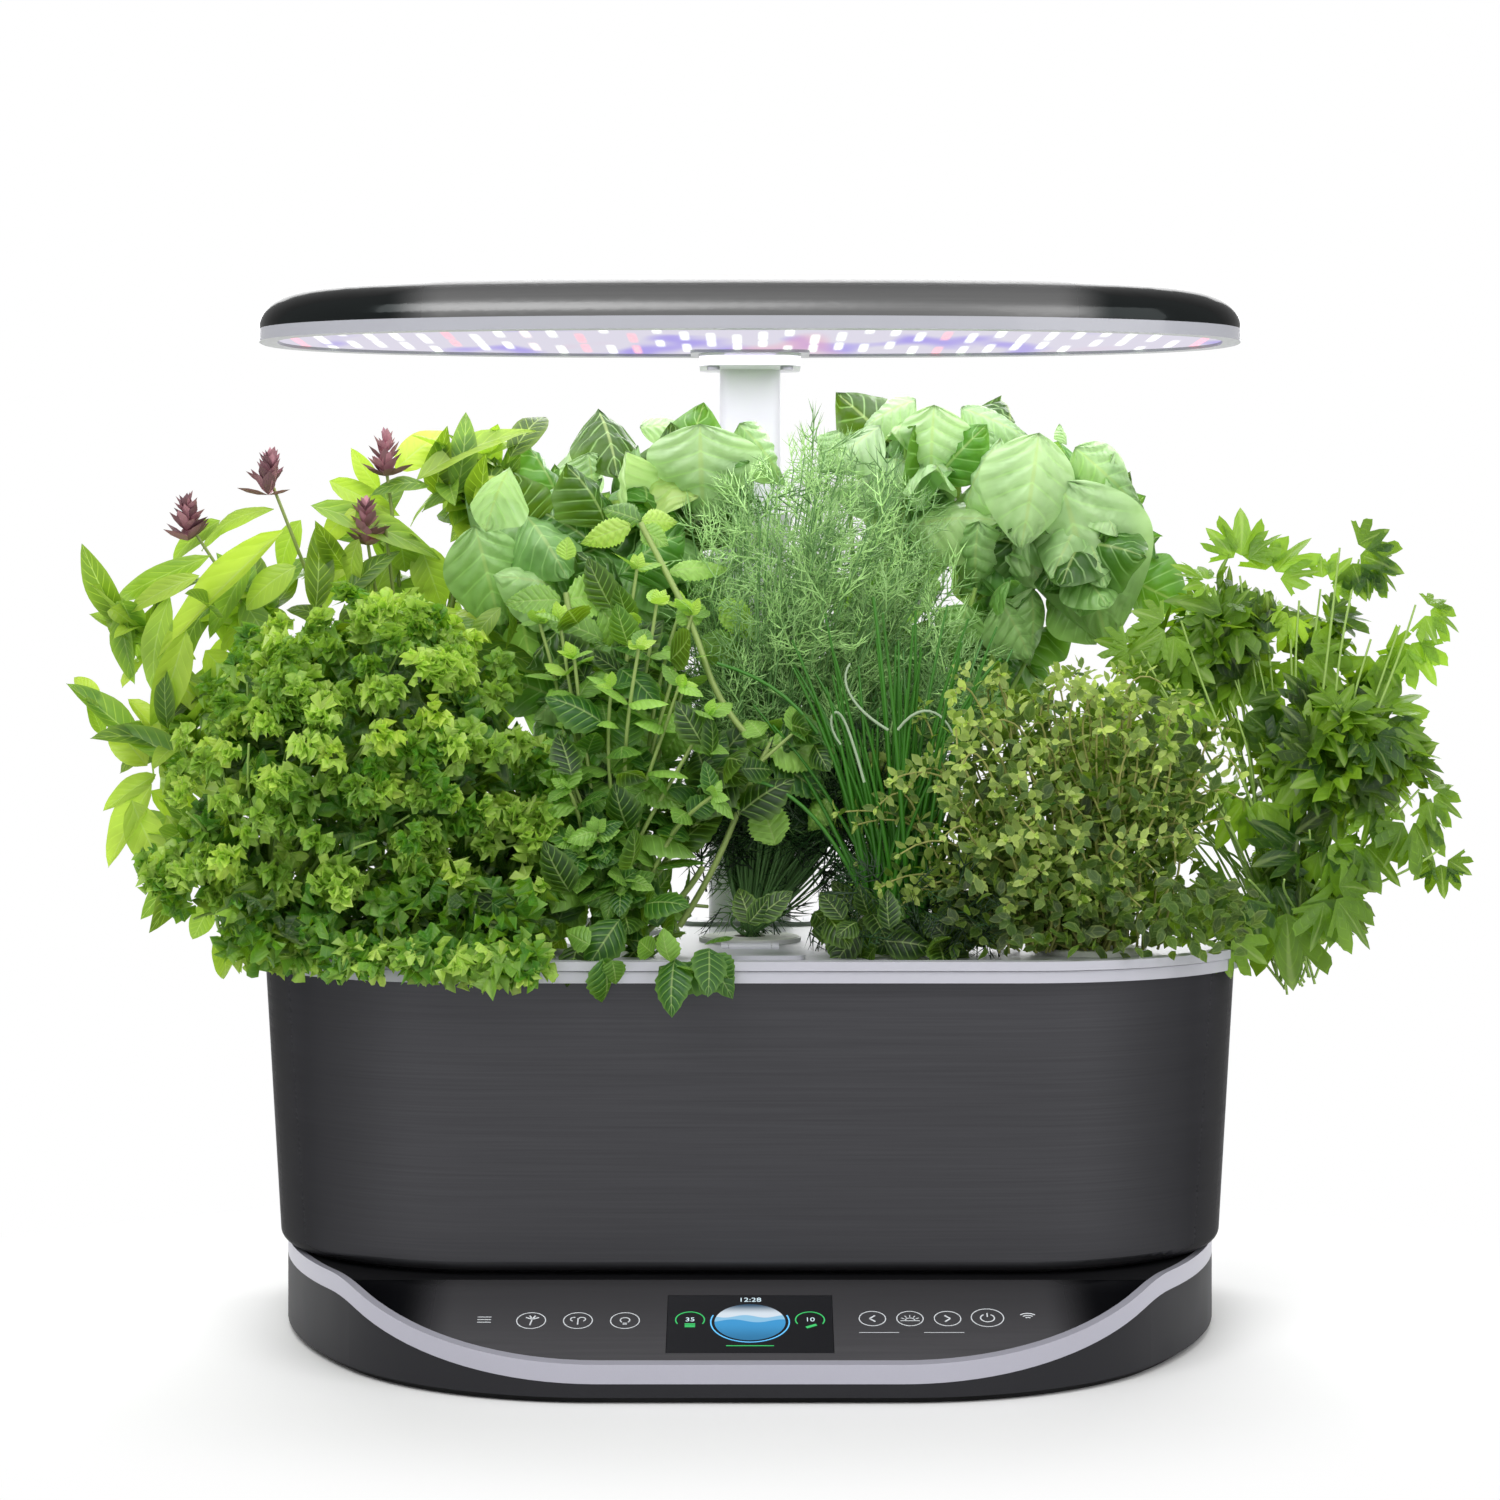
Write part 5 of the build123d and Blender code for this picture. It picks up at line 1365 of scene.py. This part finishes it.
class GARDEN_OT_mint(bpy.types.Operator):
    """Mint, with toothed leaves on bowed runners"""

    bl_idname = "garden.mint"
    bl_label = "Mint"

    def execute(self, context):
        given = context.scene.garden_herbs
        bed = Bed("mint", given.seed + 2, 0.55)
        heroes = [leaf_blank(mint_outline, 28, 8, cup=0.15 + 0.25 * i, fold=0.2,
                             droop=0.4 + 0.3 * i, pucker=0.030, pairs=7.0, teeth=0.26,
                             tooth_count=14.0) for i in range(3)]
        blanks = [leaf_blank(mint_outline, 12, 4, cup=0.2 + 0.25 * i, fold=0.2,
                             droop=0.4 + 0.3 * i, teeth=0.22, tooth_count=6.0)
                  for i in range(3)]
        leaf = leafy("mint_leaf", given.mint_young, given.mint_old, 7.0, 3.0,
                     rough=0.40, pale_vein=0.30, relief=0.0008, near=0.25)
        placed_leaves(bed, MINT_LEAVES, heroes)
        for line in MINT_RUNNERS:
            bed.stem(in_metres(line), 0.0013, 1.1)
        for spot, _ in crown_spots("mint", given.mint_fill, bed.chance, 0.016, 1.0):
            line = arch(bed.root, spot, 0.01, bed.chance)
            bed.stem(line, 0.0011, 0.7)
            paired_leaves(bed, line, blanks, 4, 0.40, 0.024, 0.014)
        inner_leaves(bed, blanks, given.mint_fill * 2, 0.024)
        low_leaves(bed, blanks)
        rim_leaves(bed, blanks, -74, 0, 12, 0.020, 0.012)
        bed.end(leaf, moulded("mint_stem", tint(150, 172, 96), 0.5), "leaf_mint")
        return {"FINISHED"}


def curly_reach(side):
    return 0.78 + 0.16 * math.cos(side * 9.0) + 0.10 * math.cos(side * 24.0)


def leaflet_reach(side):
    """Five notched lobes, the middle one longest."""
    lobe = 0.40 + 0.60 * abs(math.cos(side * math.pi * 2)) ** 0.7
    return lobe * (1 - 0.26 * side * side) + 0.05 * math.cos(side * 30.0)


class GARDEN_OT_parsley(bpy.types.Operator):
    """Curly parsley and flat-leaf parsley"""

    bl_idname = "garden.parsley"
    bl_label = "Parsley"

    def execute(self, context):
        given = context.scene.garden_herbs
        self.curly(given)
        self.flat(given)
        return {"FINISHED"}

    def curly(self, given):
        bed = Bed("curly_parsley", given.seed + 3, 0.12)
        blanks = [fan_blank(curly_reach, 2, 13, 1.7, 0.30 + 0.08 * i, 3.5 + i, 0.30)
                  for i in range(3)]
        leaf = leafy("curly_leaf", given.curly_young, given.curly_old, 4.0, 1.0,
                     rough=0.42, glow=0.38, pale_vein=0.12)
        for spot, out in crown_spots("curly_parsley", given.curly_fill, bed.chance, 0.020, 1.2):
            self.tuft(bed, blanks, spot, out)
        inner_leaves(bed, blanks, given.curly_fill * 2, 0.010, (0.016, 0.034))
        rim_leaves(bed, blanks, -222, -84, given.curly_fill // 2, 0.0080, 0.014)
        low_leaves(bed, blanks)
        plain_stems(bed, 60, 0.02, 0.012, 0.0010, 0.5)
        bed.end(leaf, moulded("parsley_stem", given.stalk, 0.5), "leaf_parsley")

    def tuft(self, bed, blanks, spot, out):
        """A frilled leaf: leaflets packed round one point."""
        spread = bed.about(0.0062, 0.4)
        tone = bed.chance.uniform(-0.1, 0.85)
        for _ in range(7):
            lean = out + bed.wander(1.1)
            bed.put(bed.chance.choice(blanks),
                    rest_on(spot + lean.normalized() * spread * 0.35, lean,
                            bed.wander(1.0) + Vector((0, -0.2, 0.5)), bed.about(0.0068, 0.3)),
                    tone + bed.chance.uniform(0.0, 0.3))

    def flat(self, given):
        bed = Bed("flat_parsley", given.seed + 4, 0.4)
        blanks = [fan_blank(leaflet_reach, 2, 28, 1.15, 0.04 + 0.03 * i, 2.0, 0.15 + 0.15 * i)
                  for i in range(3)]
        leaf = leafy("flat_leaf", given.flat_young, given.flat_old, 5.0, 1.4,
                     rough=0.42, glow=0.38, pale_vein=0.2)
        for x0, z0, x1, z1, y in FLAT_LEAVES:
            start, end = in_metres([(x0, y, z0), (x1, y, z1)])
            self.leaf(bed, blanks, start, end - start, bed.wander(0.5) + Vector((0, -1, 0.5)),
                      (end - start).length)
            bed.stem(arch(bed.root, start, 0.010, bed.chance), 0.0008, 0.6)
        for spot, out in crown_spots("flat_parsley", given.flat_fill, bed.chance, 0.02, 0.5):
            way = out + Vector((0, 0, -0.3)) + bed.wander(0.6)
            size = bed.about(0.027, 0.3)
            start = spot - way.normalized() * size
            self.leaf(bed, blanks, start, way,
                      out + Vector((0, -0.4, 0.6)) + bed.wander(0.4), size)
            if bed.chance.random() < 0.35:
                foot = bed.root + bed.wander(0.008)
                bed.stem(arch(foot, start, 0.016, bed.chance, 0.012), 0.0006, 0.6)
        inner_leaves(bed, blanks, given.flat_fill * 2, 0.016, (0.012, 0.04))
        bed.end(leaf, bpy.data.materials["parsley_stem"], "leaf_parsley")

    def leaf(self, bed, blanks, start, way, face, size):
        """One leaf: three stalked leaflets."""
        way = way.normalized()
        tone = bed.chance.random()
        for turn, share in ((0.0, 1.0), (0.95, 0.8), (-0.95, 0.8)):
            out = Matrix.Rotation(turn, 3, face) @ way
            bed.put(bed.chance.choice(blanks),
                    rest_on(start + way * size * 0.12 + out * size * 0.2, out,
                            face + bed.wander(0.25), size * 0.74 * share), tone)


def spray_blank(chance):
    """A small spray of fine threads, 1 long, forking from its middle line."""
    bm = bmesh.new()
    bm.loops.layers.uv.new("leaf")

    def thread(start, way, size, thick):
        made = bmesh.ops.create_cone(bm, cap_ends=False, segments=3, radius1=thick,
                                     radius2=0.0, depth=size)["verts"]
        turn = Vector((0, 0, 1)).rotation_difference(way).to_matrix().to_4x4()
        bmesh.ops.transform(bm, verts=made, matrix=Matrix.Translation(start) @ turn
                            @ Matrix.Translation((0, 0, size / 2)))

    thread(Vector(), Vector((0, 1, 0)), 1.0, 0.024)
    for at, reach in ((0.15, 0.62), (0.38, 0.60), (0.62, 0.45)):
        for side in (1, -1):
            way = Vector((side * 0.8, 0.9, chance.uniform(-0.6, 0.6))).normalized()
            start = Vector((0, at, 0))
            thread(start, way, reach * chance.uniform(0.8, 1.2), 0.019)
            lean = Vector((side * 0.25, 1.0, chance.uniform(-0.8, 0.8))).normalized()
            thread(start + way * reach * 0.4, lean, reach * 0.7, 0.017)
    return stored_blank(bm)


class GARDEN_OT_dill(bpy.types.Operator):
    """Dill, all fine feathery threads"""

    bl_idname = "garden.dill"
    bl_label = "Dill"

    def execute(self, context):
        given = context.scene.garden_herbs
        bed = Bed("dill", given.seed + 5, 0.7)
        blanks = [spray_blank(bed.chance) for _ in range(5)]
        material, n = start_material("dill_frond", Roughness=0.5)
        tone = n.tone()
        mask = n.math("MULTIPLY_ADD", tone, 0.7, n.math("MULTIPLY", n.noise(40.0), 0.3))
        body = n.mix(mask, given.dill_old, given.dill_young)
        # painted shade: tones below zero darken the fronds
        n.give(Base_Color=n.mix(n.ease(tone, -1.0, 0.0, 0.9, 0.0), body,
                                darker(given.dill_old, 0.15)))
        for spot, _ in crown_spots("dill", given.dill_fill, bed.chance, 0.018, 0.5):
            line = arch(bed.root, spot, 0.006, bed.chance, 0.01)
            bed.stem(line, 0.0007, 0.4)
            for step in range(9):
                place, way = along_line(line, 0.52 + 0.475 * step / 8)
                lean = way * 0.6 + bed.wander(1.0) + Vector((0, 0, 0.2))
                bed.put(bed.chance.choice(blanks),
                        rest_on(place, lean, bed.wander(1.0), bed.about(0.019, 0.3)))
        low_leaves(bed, blanks)
        bed.end(material, moulded("dill_stem", tint(104, 148, 84), 0.5), "leaf_dill")
        return {"FINISHED"}


class GARDEN_OT_chives(bpy.types.Operator):
    """Chives: a fan of thin blades, a few with curled pale tips"""

    bl_idname = "garden.chives"
    bl_label = "Chives"

    def execute(self, context):
        given = context.scene.garden_herbs
        bed = Bed("chives", given.seed + 6)
        green = moulded("chive_blade", given.chive, 0.4, 1500.0)
        pale = moulded("chive_tip", tint(158, 178, 146), 0.5, 1500.0)
        lines = []
        for _ in range(given.chive_fill):
            spread = bed.chance.gauss(0, 0.15)
            deep = bed.chance.gauss(0, 0.12)
            tall = 0.150 * bed.chance.uniform(0.25, 1.0) ** 0.6
            foot = bed.root + Vector((bed.chance.uniform(-0.010, 0.010),
                                      bed.chance.uniform(-0.008, 0.008), 0.0))
            way = Vector((spread, deep - 0.05, 1.0)).normalized()
            bend = Vector((spread * 0.9, deep, -0.35 * abs(spread))) * tall
            lines.append(([foot, foot + way * tall * 0.4, foot + way * tall * 0.75 + bend * 0.25,
                           foot + way * tall + bend * 0.6], 0.00135, 0.35))
        for points in CHIVE_BLADES:
            lines.append((in_metres(points), 0.0010, 0.7))
        blades = strands("chives_blades", lines, "leaf_chive", green)
        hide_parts("chives")
        strands("chives_tips", [(in_metres(points), 0.0007, 0.7) for points in CHIVE_TIPS],
                "leaf_chive", pale)
        return {"FINISHED"}


CHIVE_BLADES = [
    [(57, -46, 170), (50, -52, 215), (34, -58, 262), (8, -62, 284), (-14, -60, 290)],
    [(60, -46, 170), (62, -54, 220), (58, -60, 275), (52, -60, 318)],
    [(62, -46, 170), (70, -52, 230), (86, -58, 275), (106, -60, 292)],
    [(64, -46, 170), (76, -56, 205), (104, -66, 225), (140, -68, 236)],
    [(58, -46, 170), (44, -56, 200), (28, -64, 232), (-2, -66, 246), (-22, -64, 238)]]
CHIVE_TIPS = [
    [(48, -66, 240), (42, -66, 262), (36, -67, 276), (32, -68, 264), (38, -68, 256)],
    [(58, -66, 262), (44, -68, 270), (36, -68, 282), (42, -68, 290)],
    [(62, -66, 262), (72, -68, 276), (82, -68, 270), (86, -68, 258)]]


class GARDEN_OT_thyme(bpy.types.Operator):
    """Thyme: wiry looping stems with small oval leaves"""

    bl_idname = "garden.thyme"
    bl_label = "Thyme"

    def execute(self, context):
        given = context.scene.garden_herbs
        bed = Bed("thyme", given.seed + 7, 0.3)
        blanks = [leaf_blank(small_outline, 3, 2, fold=0.25, droop=0.5 * i) for i in range(2)]
        leaf = leafy("thyme_leaf", given.thyme_young, given.thyme_old, 2.0, 1.0,
                     rough=0.5, pale_vein=0.1)
        low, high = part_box("thyme")
        for spot, out in crown_spots("thyme", given.thyme_fill, bed.chance, 0.016, 1.0):
            rise = (spot.z - low[2]) / (high[2] - low[2])
            spot.z += 0.036 * max(0.0, rise - 0.4)
            spot.x -= 0.036 * bed.chance.random() ** 1.6
            foot = bed.root.lerp(Vector((spot.x, spot.y, bed.root.z)), bed.chance.uniform(0, 0.7))
            line = arch(foot, spot, 0.010, bed.chance, 0.016)
            hook = spot + Vector((out.x, out.y, -0.5)) * 0.012 + bed.wander(0.008)
            line.append(hook)
            bed.stem(line, 0.00062, 0.6)
            paired_leaves(bed, line, blanks, 15, 0.25, 0.0080, 0.0056, 0.9)
        inner_leaves(bed, blanks, given.thyme_fill * 3, 0.0085, (0.004, 0.030))
        low_leaves(bed, blanks)
        bed.end(leaf, moulded("thyme_stem", given.bark, 0.7, 700.0), "leaf_thyme")
        return {"FINISHED"}


# ---------------------------------------------------------------- sidebar and start
OPERATORS = [GARDEN_OT_stage, GARDEN_OT_housing, GARDEN_OT_signs, GARDEN_OT_lamp,
             GARDEN_OT_large_basil, GARDEN_OT_thai_basil, GARDEN_OT_mint, GARDEN_OT_parsley,
             GARDEN_OT_dill, GARDEN_OT_chives, GARDEN_OT_thyme]


class GARDEN_PT_pieces(bpy.types.Panel):
    """The garden's pieces and their settings"""

    bl_idname = "GARDEN_PT_pieces"
    bl_label = "Countertop Garden"
    bl_space_type = "VIEW_3D"
    bl_region_type = "UI"
    bl_category = "Garden"

    def draw(self, context):
        for piece in OPERATORS:
            self.layout.operator(piece.bl_idname)
        for name in SETTINGS:
            given = getattr(context.scene, name)
            box = self.layout.box()
            for key in given.__annotations__:
                box.prop(given, key)


CLASSES = [*SETTINGS.values(), *OPERATORS, GARDEN_PT_pieces]


def register():
    for kind in CLASSES:
        bpy.utils.register_class(kind)
    for name, kind in SETTINGS.items():
        setattr(bpy.types.Scene, name, bpy.props.PointerProperty(type=kind))


def unregister():
    for name in SETTINGS:
        delattr(bpy.types.Scene, name)
    for kind in reversed(CLASSES):
        bpy.utils.unregister_class(kind)


def main():
    register()
    for piece in OPERATORS:
        area, name = piece.bl_idname.split(".")
        done = getattr(getattr(bpy.ops, area), name)()
        if done != {"FINISHED"}:
            raise RuntimeError(f"{piece.bl_label} didn't finish")


if __name__ == "__main__":
    main()
